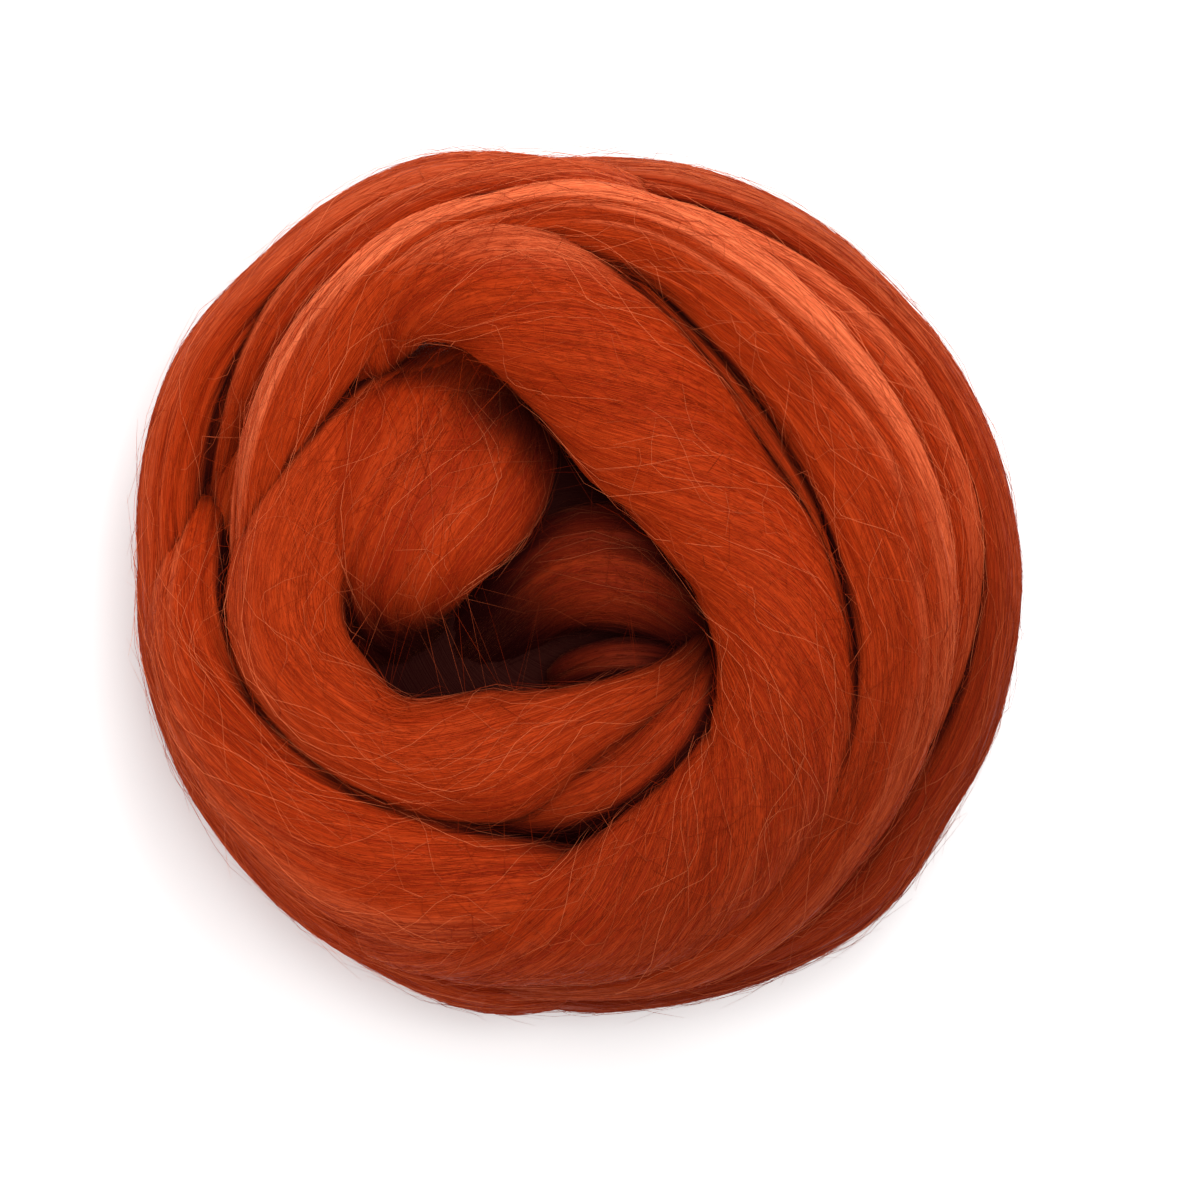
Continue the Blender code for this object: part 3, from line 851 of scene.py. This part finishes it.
def comb_tree():
    """The tree that combs fibres over a strand. It scatters roots and lays a fibre along the lay at each."""
    t = FibreTree("comb_fibres", COMB_INPUTS)
    given, named, chance, store = t.given, t.named, t.chance, t.store
    roots = t.scattered("Fibres per Square Metre")
    roots = store(roots, "root", named(BAKE_MAP, VECTOR), VECTOR)
    roots = store(roots, "reach", chance(given["Shortest"], given["Longest"], 1))
    roots = store(roots, "girth", chance(given["Thinnest"], given["Thickest"], 2))
    roots = store(roots, "lift", chance(given["Lowest"], given["Highest"], 3))
    roots = store(roots, "astray", t.chance_round_zero("Stray", 4))
    roots = store(roots, "phase", chance(0.0, tau, 5))
    roots = store(roots, "tint", chance(0.0, 1.0, 6))
    roots = store(roots, "tip", chance(0.0, given["Tip Lift"], 7))
    laid = t.laid(roots)

    part = t.add("GeometryNodeSplineParameter").outputs["Factor"]
    centred = t.math("SUBTRACT", part, 0.5)
    root_along, root_beside, _ = t.split(named("root", VECTOR))
    whole = t.math("DIVIDE", named("reach"), named("run_length"))
    half = t.total(t.product(whole, 0.5), KEEPS_OFF)
    middle = t.math("MAXIMUM", root_along, half)
    middle = t.math("MINIMUM", middle, t.math("SUBTRACT", 1.0, half))
    run_share = t.product(centred, whole)
    along = t.total(middle, run_share)
    turned = t.product(named("lay_rate"), run_share)
    wave = t.math("SINE", t.total(t.product(part, SWAY_WAVES), named("phase")))
    aside = t.total(turned, t.product(centred, named("astray")), t.product(wave, given["Curl"]))
    beside = t.math("FRACT", t.total(root_beside, aside, 2.0))
    where = t.joined(along, beside)

    def on_strand(value, kind="FLOAT"):
        values = {"Mesh": given["Mesh"], "Value": value, "Sample UV": where}
        values["UV Map"] = named(BAKE_MAP, VECTOR)
        return t.add("GeometryNodeSampleUVSurface", values, data_type=kind)

    facing = t.vector("NORMALIZE", on_strand(t.facing(), VECTOR))
    ends = t.math("POWER", t.math("ABSOLUTE", t.product(centred, 2.0)), TIP_POWER)
    swell = t.total(t.product(part, SWELL_WAVES), t.product(named("phase"), SWELL_SHIFT))
    swell = t.product(t.math("SINE", swell), given["Loft"])
    height = t.total(named("lift"), t.product(ends, named("tip")), swell)
    # Each fibre takes the painted shade and painted glow of its strand.
    curve = store(laid, "shade", on_strand(named("shade")))
    curve = store(curve, "glow", on_strand(named("glow")))
    curve = t.moved(curve, t.vector("ADD", on_strand(t.place(), VECTOR), t.scaled(facing, height)))
    # The flat side of each fibre lies on the strand.
    curve = t.add("GeometryNodeSetCurveNormal", {"Curve": curve}, mode="FREE")
    t.feed(curve.inputs["Normal"], facing)
    slim = t.math("SQRT", t.math("SUBTRACT", 1.0, t.product(ends, COMBED_SLIMS), clamp=True))
    t.spun(curve, t.product(named("girth"), slim), given["Flatness"])
    return t.tree


# A wisp ripples in waves, in radians from end to end, by a share of its length, keeps clear of the
# skin by so many metres, and slims from its middle to its ends. The veil is smoothed so many times.
RIPPLE_WAVES = 8.0
RIPPLE = 0.06
CLEAR = 0.0004
WISP_SLIMS = 1.4
VEIL_BLURS = 5


def wisp_tree():
    """The tree that lays loose curved wisps over the nest's skin, so that they cross its creases."""
    t = FibreTree("lay_wisps", WISP_INPUTS)
    given, named, chance, store = t.given, t.named, t.chance, t.store
    roots = t.scattered("Wisps per Square Metre")
    roots = store(roots, "root", t.place(), VECTOR)
    x, y, _ = t.split(t.place())
    round_axis = t.total(t.math("ARCTAN2", y, x), pi / 2)
    roots = store(roots, "way", t.total(round_axis, t.chance_round_zero("Swing", 1)))
    roots = store(roots, "reach", chance(given["Shortest"], given["Longest"], 2))
    roots = store(roots, "girth", chance(given["Thinnest"], given["Thickest"], 3))
    roots = store(roots, "lift", chance(given["Lowest"], given["Highest"], 4))
    roots = store(roots, "bend", t.chance_round_zero("Bend", 5))
    roots = store(roots, "phase", chance(0.0, tau, 6))
    roots = store(roots, "tint", chance(0.0, 0.8, 7))
    laid = t.laid(roots)

    part = t.add("GeometryNodeSplineParameter").outputs["Factor"]
    centred = t.math("SUBTRACT", part, 0.5)
    bow = t.product(centred, centred, named("bend"))
    ripple = t.math("SINE", t.total(t.product(part, RIPPLE_WAVES), named("phase")))
    aside = t.total(bow, t.product(ripple, RIPPLE))
    cosine, sine = t.math("COSINE", named("way")), t.math("SINE", named("way"))
    x = t.math("SUBTRACT", t.product(cosine, centred), t.product(sine, aside))
    y = t.total(t.product(sine, centred), t.product(cosine, aside))
    loose = t.vector("ADD", named("root", VECTOR), t.scaled(t.joined(x, y), named("reach")))

    def nearest(skin, value, kind=VECTOR):
        values = {"Mesh": skin, "Value": value, "Sample Position": t.place()}
        return t.add("GeometryNodeSampleNearestSurface", values, data_type=kind)

    # The veil is the skin with its creases smoothed over.
    blur = {"Value": t.place(), "Iterations": VEIL_BLURS}
    blur = t.add("GeometryNodeBlurAttribute", blur, data_type=VECTOR)
    skin = given["Mesh"]
    veil = t.moved(skin, blur)
    curve = t.moved(laid, loose)
    lifted = t.scaled(nearest(veil, t.facing()), named("lift"))
    curve = t.moved(curve, t.vector("ADD", nearest(veil, t.place()), lifted))
    # A wisp that has sunk into a crest is pushed out of it.
    out = nearest(skin, t.facing())
    gap = t.vector("SUBTRACT", t.place(), nearest(skin, t.place()))
    gap = t.vector("DOT_PRODUCT", gap, out).outputs["Value"]
    push = t.math("MAXIMUM", t.math("SUBTRACT", CLEAR, gap), 0.0)
    curve = t.moved(curve, t.vector("ADD", t.place(), t.scaled(out, push)))
    # Each wisp takes the painted shade of the skin beside it.
    curve = store(curve, "shade", nearest(skin, named("shade"), "FLOAT"))
    slim = t.math("SUBTRACT", 1.0, t.product(t.math("ABSOLUTE", centred), WISP_SLIMS))
    t.spun(curve, t.product(named("girth"), slim), 1.0)
    return t.tree


# The bake map's cells in a row, a cell's margin and what it holds, and how far a cap's tip stands off.
COLUMNS = 12
MARGIN, HELD = 0.04, 0.92
CAP_PUSH = 0.35


def fibre_bake_map(mesh, rings):
    """Gives every fibre of a mesh a cell of its own on the bake map."""
    count = len(mesh.vertices) // (3 * rings)
    rows = max(1, -(-count // COLUMNS))
    corner = np.empty(len(mesh.loops), int)
    mesh.loops.foreach_get("vertex_index", corner)
    sizes = np.empty(len(mesh.polygons), int)
    mesh.polygons.foreach_get("loop_total", sizes)
    face = np.repeat(np.arange(len(sizes)), sizes)
    fibre, ring, side = corner // (3 * rings), corner // 3 % rings, corner % 3
    wraps = np.zeros(len(sizes), bool)
    np.logical_or.at(wraps, face, side == 2)
    has_first = np.zeros(len(sizes), bool)
    np.logical_or.at(has_first, face, side == 0)
    is_quad = sizes[face] == 4
    wraps = (wraps & has_first)[face] & is_quad
    side = np.where(wraps & (side == 0), 3, side)
    u = (ring + 0.5) / (rings + 1)
    push = np.where(ring == 0, -CAP_PUSH, CAP_PUSH) / (rings + 1)
    u = np.where(is_quad, u, u + push * (side == 1))
    v = (side + 0.5) / 4
    u = (fibre % COLUMNS + MARGIN + HELD * u) / COLUMNS
    v = (fibre // COLUMNS + v) / rows
    layer = mesh.uv_layers.get(BAKE_MAP) or mesh.uv_layers.new(name=BAKE_MAP)
    layer.data.foreach_set("uv", np.stack([u, v], 1).ravel())


def placed(name, data):
    """A new object that is linked to the scene."""
    thing = bpy.data.objects.new(name, data)
    bpy.context.scene.collection.objects.link(thing)
    return thing


def combed(name, carrier, tree, values):
    """The fibres on a carrier's mesh as a plain mesh object, made by the tree with these values."""
    piece = placed(name, carrier.data)
    comb = piece.modifiers.new("comb_fibres", "NODES")
    comb.node_group = tree
    sockets = {s.name: s.identifier for s in tree.interface.items_tree if s.in_out == "INPUT"}
    for key, value in values.items():
        comb[sockets[key]] = value
    seen = piece.evaluated_get(bpy.context.evaluated_depsgraph_get())
    mesh = bpy.data.meshes.new_from_object(seen)
    piece.modifiers.clear()
    piece.data = mesh
    mesh.name = name
    kept = ("tint", "tone", "shade", "glow")
    for spare in [a.name for a in mesh.attributes if a.domain == "POINT" and a.name not in kept]:
        if spare != "position":
            mesh.attributes.remove(mesh.attributes[spare])
    fibre_bake_map(mesh, values["Rings"])
    return piece


def blank_material(name):
    material = bpy.data.materials.new(name)
    material.use_nodes = True
    material.node_tree.nodes.clear()
    return material


# The tints of the dim, the lit and the bright colour, and how the painted glow on a fibre grows with its
# tint.
DIM_AT, LIT_AT, BRIGHT_AT = 0.15, 0.55, 0.95
GLOW_GROWS, GLOW_STARTS = 1.6, -0.05


def dyed(t, tint, colours, pale):
    """Wool colour at a tint from 0 to 1, paled by painted glow, and deepened by painted shade where the
    shade attribute says it lies in a crease, a well or on the lee side.
    """
    ramp = t.add("ShaderNodeValToRGB", {0: tint})
    stops = ramp.color_ramp.elements
    stops[0].position, stops[0].color = DIM_AT, (*colours.dim, 1)
    stops[1].position = BRIGHT_AT
    stops[1].color = (*(colours.glow if pale else colours.bright), 1)
    stops.new(LIT_AT).color = (*colours.lit, 1)
    shade = t.attribute("shade")
    glow = t.attribute("glow")
    glow = t.math("MULTIPLY", glow, t.total(t.product(tint, GLOW_GROWS), GLOW_STARTS), clamp=True)
    with_painted_glow = t.mix(glow, ramp, (*colours.glow, 1))
    return t.mix(shade, (*colours.deep, 1), with_painted_glow)


def wool_shader(t, colour, colours, normal=None):
    values = {"Base Color": colour, "Roughness": 0.55, "Sheen Tint": (*colours.glow, 1)}
    values |= {"Sheen Weight": 0.08, "Sheen Roughness": 0.3, "Specular IOR Level": 0.12}
    values["Specular Tint"] = (1.0, 0.45, 0.25, 1)
    # The wool glows a little in its own colour, a painted glow that stands in for light that comes through
    # it, so its creases are not black.
    values |= {"Emission Color": colour, "Emission Strength": 0.16}
    if normal:
        values["Normal"] = normal
    shader = t.add("ShaderNodeBsdfPrincipled", values)
    t.add("ShaderNodeOutputMaterial", {"Surface": shader})


# Streaks per millimetre along the run and across the lay.
FINE_STREAKS = (0.05, 4.2, 4.2)
BROAD_STREAKS = (0.03, 1.1, 1.1)


def matted_wool(colours):
    """Wool under the fibres: fine streaks along the lay."""
    material = blank_material("matted_wool")
    t = Tree(material.node_tree)
    lay = t.attribute("lay_place", "Vector")
    fine = t.noise(t.vector("MULTIPLY", lay, FINE_STREAKS), detail=3.0, roughness=0.6)
    broad = t.noise(t.vector("MULTIPLY", lay, BROAD_STREAKS))
    tone = t.attribute("tone")
    tint = t.product(t.math("SUBTRACT", fine, 0.5), 1.3)
    tint = t.total(tint, t.product(t.math("SUBTRACT", broad, 0.5), 0.6))
    tint = t.math("ADD", tint, t.product(tone, 0.9), clamp=True)
    bump = t.add("ShaderNodeBump", {"Height": fine, "Strength": 0.6, "Distance": 0.0003})
    wool_shader(t, dyed(t, tint, colours, False), colours, bump)
    return material


def fibre_wool(name, colours, pale):
    """Wool of one fibre, with a tint of its own."""
    material = blank_material(name)
    t = Tree(material.node_tree)
    own = t.attribute("tint")
    tone = t.attribute("tone")
    tint = t.math("ADD", t.product(own, 0.7), t.product(tone, 0.4), clamp=True)
    wool_shader(t, dyed(t, own if pale else tint, colours, pale), colours)
    return material


def wool(name, colours):
    """The matted, combed or stray wool, made when it is first asked for."""
    if name in bpy.data.materials:
        return bpy.data.materials[name]
    return matted_wool(colours) if name == "matted_wool" else fibre_wool(name, colours, name == "stray_wool")


def floor_paper(tone, glow):
    """Plain pale paper, very slightly uneven and lit a little from below."""
    material = blank_material("pale_floor")
    t = Tree(material.node_tree)
    place = t.add("ShaderNodeTexCoord").outputs["Object"]
    ramp = t.add("ShaderNodeValToRGB", {0: t.noise(place, scale=60.0)})
    ramp.color_ramp.elements[0].color = (tone * 0.995, tone * 0.995, tone * 0.995, 1)
    ramp.color_ramp.elements[1].color = (tone, tone, tone, 1)
    values = {"Base Color": ramp, "Roughness": 0.9, "Specular IOR Level": 0.0}
    values |= {"Emission Color": (1, 1, 1, 1), "Emission Strength": glow}
    shader = t.add("ShaderNodeBsdfPrincipled", values)
    t.add("ShaderNodeOutputMaterial", {"Surface": shader})
    return material


class RovingSizes(bpy.types.PropertyGroup):
    """How thickly the roving is combed, and with what fibres."""

    fibres_per_cm2: FloatProperty(
        name="Fibres per cm²", description="Combed fibres where the skin shows most", default=56.0, min=0
    )
    fibre_short: FloatProperty(
        name="Shortest fibre", description="Shortest length that shows", default=0.012, unit="LENGTH"
    )
    fibre_long: FloatProperty(
        name="Longest fibre", description="Longest length that shows", default=0.036, unit="LENGTH"
    )
    fibre_thin: FloatProperty(
        name="Thinnest tuft", description="Smallest radius of a tuft", default=0.00005, unit="LENGTH"
    )
    fibre_thick: FloatProperty(
        name="Thickest tuft", description="Largest radius of a tuft", default=0.00012, unit="LENGTH"
    )
    stray_per_cm2: FloatProperty(
        name="Stray fibres per cm²", description="Fine pale fibres that stand off", default=4.0, min=0
    )
    wisps_per_cm2: FloatProperty(
        name="Wisps per cm²", description="Loose wisps that cross the creases", default=6.0, min=0
    )
    seed: IntProperty(name="Seed", description="Where the fibres fall", default=7)


class RovingColours(bpy.types.PropertyGroup):
    """The dyed wool's colours, linear, with the colours of its painted shade and its painted glow."""

    lit: FloatVectorProperty(
        name="Lit wool", description="Colour of most fibres", subtype="COLOR", default=(0.40, 0.034, 0.004)
    )
    bright: FloatVectorProperty(
        name="Bright wool", description="Palest fibres", subtype="COLOR", default=(0.52, 0.055, 0.009)
    )
    dim: FloatVectorProperty(
        name="Dim wool", description="Darkest combed fibres", subtype="COLOR", default=(0.27, 0.0155, 0.0022)
    )
    # The colour of painted shade, which the wool goes towards in creases, wells and on the lee side.
    deep: FloatVectorProperty(
        name="Deep wool", description="Deep in a crease", subtype="COLOR", default=(0.016, 0.0012, 0.0018)
    )
    # Also the colour of the painted glow of lit fuzz, besides the palest stray fibres and the sheen's tint.
    glow: FloatVectorProperty(
        name="Glow", description="Stray fibres and the sheen", subtype="COLOR", default=(0.86, 0.20, 0.075)
    )


class RovingStage(bpy.types.PropertyGroup):
    """Camera, floor and lights."""

    height: FloatProperty(
        name="Camera height", description="Height of the camera over the floor", default=1.25, unit="LENGTH"
    )
    field: FloatProperty(
        name="Field of view", description="Width of the picture at the rim", default=0.18983, unit="LENGTH"
    )
    floor_tone: FloatProperty(
        name="Floor tone", description="How pale the floor is", default=0.86, min=0, max=1
    )
    floor_glow: FloatProperty(
        name="Floor glow", description="Light that comes up through the paper", default=0.31
    )
    surround: FloatProperty(name="Surround", description="Even light from all sides", default=0.5)
    key_power: FloatProperty(name="Main light", description="Power of the light from behind", default=10.6)


def finish_piece(piece):
    """Hides the imported solid, and lets the piece ride on the body."""
    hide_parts(NODE)
    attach(piece, BODY)


def solid_skin():
    """The solid's surface, to find what lies on the outside of the nest."""
    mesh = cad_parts[NODE].data
    points = [tuple(v.co) for v in mesh.vertices]
    return BVHTree.FromPolygons(points, [tuple(p.vertices) for p in mesh.polygons])


# What combed fibres, stray fibres and wisps are like. Lengths are in metres. Stray and Curl are shares
# of the way round a strand, Swing is an angle in radians, and Bend is a share of a wisp's length.
COMBING = {
    "Flatness": 0.6,
    "Lowest": -0.00006,
    "Highest": 0.00016,
    "Loft": 0.00003,
    "Stray": 0.035,
    "Curl": 0.004,
    "Tip Lift": 0.0002,
    "Rings": 6,
}
STRAYING = {
    "Longest": 0.045,
    "Thinnest": 0.000025,
    "Thickest": 0.00004,
    "Flatness": 1.0,
    "Lowest": 0.0002,
    "Highest": 0.001,
    "Loft": 0.00025,
    "Stray": 0.22,
    "Curl": 0.045,
    "Tip Lift": 0.002,
    "Rings": 9,
}
WISPS = {
    "Shortest": 0.008,
    "Longest": 0.026,
    "Thinnest": 0.00002,
    "Thickest": 0.000055,
    "Lowest": 0.0002,
    "Highest": 0.0011,
    "Swing": 0.95,
    "Bend": 1.5,
    "Rings": 9,
}


def per_square_metre(per_cm2):
    """How many fibres a square metre gets."""
    return per_cm2 * PER_CM2 * 1.0


def lay_turns(context, turns):
    """Builds the strands of one group, and combs the fibres on each."""
    sizes, colours = context.scene.roving_sizes, context.scene.roving_colours
    skin, around = solid_skin(), surroundings()
    matted = wool("matted_wool", colours)
    tree = bpy.data.node_groups.get("comb_fibres") or comb_tree()
    for turn in turns:
        mesh = strand_mesh(turn, skin, around)
        mesh.materials.append(matted)
        piece = placed(turn.name, mesh)
        combing = COMBING | {
            "Fibres per Square Metre": per_square_metre(sizes.fibres_per_cm2),
            "Shortest": sizes.fibre_short,
            "Longest": sizes.fibre_long,
            "Thinnest": sizes.fibre_thin,
            "Thickest": sizes.fibre_thick,
            "Seed": sizes.seed + turn.seed * SEED_STEP,
            "Material": wool("combed_wool", colours),
        }
        straying = combing | STRAYING
        straying["Fibres per Square Metre"] = per_square_metre(sizes.stray_per_cm2)
        straying["Seed"] += STRAY_SEED
        straying["Material"] = wool("stray_wool", colours)
        finish_piece(combed(f"{turn.name}_fibres", piece, tree, combing))
        finish_piece(combed(f"{turn.name}_strays", piece, tree, straying))
        finish_piece(piece)


class ROVING_OT_top_turns(bpy.types.Operator):
    """Lay the turns that show from above"""

    bl_idname = "roving.top_turns"
    bl_label = "Top turns"

    def execute(self, context):
        lay_turns(context, TOP_TURNS)
        return {"FINISHED"}


class ROVING_OT_rim_turns(bpy.types.Operator):
    """Lay the turns of the rim"""

    bl_idname = "roving.rim_turns"
    bl_label = "Rim turns"

    def execute(self, context):
        lay_turns(context, RIM_TURNS)
        return {"FINISHED"}


class ROVING_OT_under_turns(bpy.types.Operator):
    """Lay the spiral of the underside"""

    bl_idname = "roving.under_turns"
    bl_label = "Under turns"

    def execute(self, context):
        lay_turns(context, UNDER_TURNS)
        return {"FINISHED"}


# How far up the skin has to face for wisps, how much painted light it has to get, and the least painted
# light that wisps get there. Fewer lie where the painted light is strong, and more where the painted glow
# is.
WISP_FACING = (-0.5, 0.3)
WISP_LIT = (0.15, 0.5)
WISP_LEAST = 0.1
WISP_COVER = 1.3
WISP_LIT_TAKES = 0.8
WISP_GLOW_ADDS = 0.7


def wisp_carrier(around):
    """The solid's skin as a mesh, with its painted light and how thickly wisps lie on it."""
    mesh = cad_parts[NODE].data.copy()
    mesh.materials.clear()
    points = np.empty(len(mesh.vertices) * 3)
    mesh.vertices.foreach_get("co", points)
    points, normals = points.reshape(-1, 3), point_normals(mesh)
    shade, glow = painted_light_and_glow(points, normals, around)
    cover = WISP_COVER - WISP_LIT_TAKES * shade + WISP_GLOW_ADDS * glow
    cover = cover * smooth_step(*WISP_FACING, normals[:, 2])
    cover = cover * smooth_step(*WISP_LIT, shade)
    note(mesh, "shade", WISP_LEAST + (1 - WISP_LEAST) * shade)
    note(mesh, "cover", cover)
    return mesh


class ROVING_OT_wisps(bpy.types.Operator):
    """Lay loose wisps over the nest and across its creases"""

    bl_idname = "roving.wisps"
    bl_label = "Wisps"

    def execute(self, context):
        sizes, colours = context.scene.roving_sizes, context.scene.roving_colours
        carrier = bpy.data.objects.new("wisp_carrier", wisp_carrier(surroundings()))
        laying = WISPS | {
            "Wisps per Square Metre": per_square_metre(sizes.wisps_per_cm2),
            "Seed": sizes.seed,
            "Material": wool("stray_wool", colours),
        }
        finish_piece(combed("wisps", carrier, wisp_tree(), laying))
        bpy.data.objects.remove(carrier)
        return {"FINISHED"}


# A ball's mesh, and the distance from the axis at which its lay is measured.
PACKED_RINGS = 36
PACKED_SIDES = 96
PACKED_LAY_MM = 20


def packed_ball(name, ball, around):
    """A flattened ball of packed wool, trimmed level underneath, with its lay round the axis."""
    rings, sides = PACKED_RINGS, PACKED_SIDES
    tilt = np.linspace(pi / 2, -pi / 2, rings + 2)[1:-1, None]
    angle = np.linspace(0, tau, sides, endpoint=False)[None, :]
    x = ball.reach * np.cos(tilt) * np.cos(angle)
    y = ball.reach * np.cos(tilt) * np.sin(angle)
    z = np.broadcast_to(ball.z + ball.half_tall * np.sin(tilt), x.shape)
    points = np.stack([x, y, z], -1).reshape(-1, 3)
    points = np.vstack([points, (0, 0, ball.z + ball.half_tall), (0, 0, ball.z - ball.half_tall)])
    points[:, 2] = np.maximum(points[:, 2] - FLAT_SPOT_TRIM_MM, 0)
    mesh = bpy.data.meshes.new(name)
    mesh.from_pydata((points * MM).tolist(), [], tube_faces(rings, sides))
    reach = np.hypot(points[:, 0], points[:, 1])
    lay = np.stack([np.arctan2(points[:, 1], points[:, 0]) * PACKED_LAY_MM, reach, points[:, 2]], 1)
    shade, glow = painted_light_and_glow(points * MM, point_normals(mesh), around)
    note(mesh, "lay_place", lay)
    note(mesh, "tone", np.full(len(points), PACKED_TONE))
    # The packed middle keeps only a share of its painted light, so it is painted deep in shade.
    note(mesh, "shade", shade * PACKED_SHADE)
    note(mesh, "glow", glow)
    mesh.shade_smooth()
    return placed(name, mesh)


class ROVING_OT_packed_middle(bpy.types.Operator):
    """Fill the middle of the nest with packed wool"""

    bl_idname = "roving.packed_middle"
    bl_label = "Packed middle"

    def execute(self, context):
        matted = wool("matted_wool", context.scene.roving_colours)
        around = surroundings()
        for number, ball in enumerate(PACKED_MIDDLE):
            piece = packed_ball(f"packed_middle_{number + 1}", ball, around)
            piece.data.materials.append(matted)
            finish_piece(piece)
        return {"FINISHED"}


# An area light: where it stands and how wide it is, in metres, and its share of the key light's power.
Lamp = namedtuple("Lamp", "name place side share")
LAMPS = [
    Lamp("window_light", (0.22, 0.88, 1.06), 0.6, 0.6),
    Lamp("top_light", (0.20, 0.15, 1.35), 0.5, 0.9),
]
LAMP_AIM = (0, 0, 0.03)
# The floor's half width and its gap under the nest, the height of the rim, where the field of view
# is measured, and the place that the camera is straight above. All are in metres.
FLOOR_REACH = 6.0
FLOOR_GAP = 0.0002
RIM_HEIGHT = 0.032
CAMERA_ABOVE = (0.00324, -0.00261)


class ROVING_OT_stage(bpy.types.Operator):
    """Set the floor, the lights and the camera"""

    bl_idname = "roving.stage"
    bl_label = "Stage"

    def execute(self, context):
        scene, stage = context.scene, context.scene.roving_stage
        mesh = bpy.data.meshes.new("floor")
        corners = [(x * FLOOR_REACH, y * FLOOR_REACH, 0) for x, y in ((-1, -1), (1, -1), (1, 1), (-1, 1))]
        mesh.from_pydata(corners, [], [(0, 1, 2, 3)])
        mesh.materials.append(floor_paper(stage.floor_tone, stage.floor_glow))
        floor = placed("floor", mesh)
        floor.location.z = CAD_LOW.z - FLOOR_GAP

        world = bpy.data.worlds.new("even_surround")
        world.use_nodes = True
        world.node_tree.nodes["Background"].inputs["Color"].default_value = (1, 1, 1, 1)
        world.node_tree.nodes["Background"].inputs["Strength"].default_value = stage.surround
        scene.world = world

        for lamp in LAMPS:
            light = bpy.data.lights.new(lamp.name, "AREA")
            light.energy = stage.key_power * lamp.share
            light.size = lamp.side
            stand = placed(lamp.name, light)
            stand.location = lamp.place
            aim = Vector(LAMP_AIM) - Vector(lamp.place)
            stand.rotation_euler = aim.to_track_quat("-Z", "Y").to_euler()

        camera = bpy.data.cameras.new("camera")
        camera.sensor_width = 36.0
        camera.lens = camera.sensor_width * (stage.height - RIM_HEIGHT) / stage.field
        camera.clip_start = 0.05
        camera.clip_end = 20.0
        view = placed("camera", camera)
        view.location = (*CAMERA_ABOVE, stage.height)
        scene.camera = view
        scene.view_settings.view_transform = "Standard"
        scene.view_settings.look = "None"
        return {"FINISHED"}


class ROVING_PT_panel(bpy.types.Panel):
    """The roving's sizes, colours and operators"""

    bl_idname = "ROVING_PT_panel"
    bl_label = "Wool roving nest"
    bl_space_type = "VIEW_3D"
    bl_region_type = "UI"
    bl_category = "Roving"

    def draw(self, context):
        for key in GROUPS:
            group = getattr(context.scene, key)
            for name in group.__annotations__:
                self.layout.prop(group, name)
        for operator in OPERATORS:
            self.layout.operator(operator.bl_idname)


GROUPS = {"roving_sizes": RovingSizes, "roving_colours": RovingColours, "roving_stage": RovingStage}
OPERATORS = (
    ROVING_OT_stage,
    ROVING_OT_packed_middle,
    ROVING_OT_top_turns,
    ROVING_OT_rim_turns,
    ROVING_OT_under_turns,
    ROVING_OT_wisps,
)


def register():
    for kind in (*GROUPS.values(), *OPERATORS, ROVING_PT_panel):
        bpy.utils.register_class(kind)
    for key, group in GROUPS.items():
        setattr(bpy.types.Scene, key, PointerProperty(type=group))


def unregister():
    for key in GROUPS:
        delattr(bpy.types.Scene, key)
    for kind in reversed((*GROUPS.values(), *OPERATORS, ROVING_PT_panel)):
        bpy.utils.unregister_class(kind)


def main():
    register()
    bpy.ops.roving.stage()
    bpy.ops.roving.packed_middle()
    bpy.ops.roving.top_turns()
    bpy.ops.roving.rim_turns()
    bpy.ops.roving.under_turns()
    bpy.ops.roving.wisps()


if __name__ == "__main__":
    main()
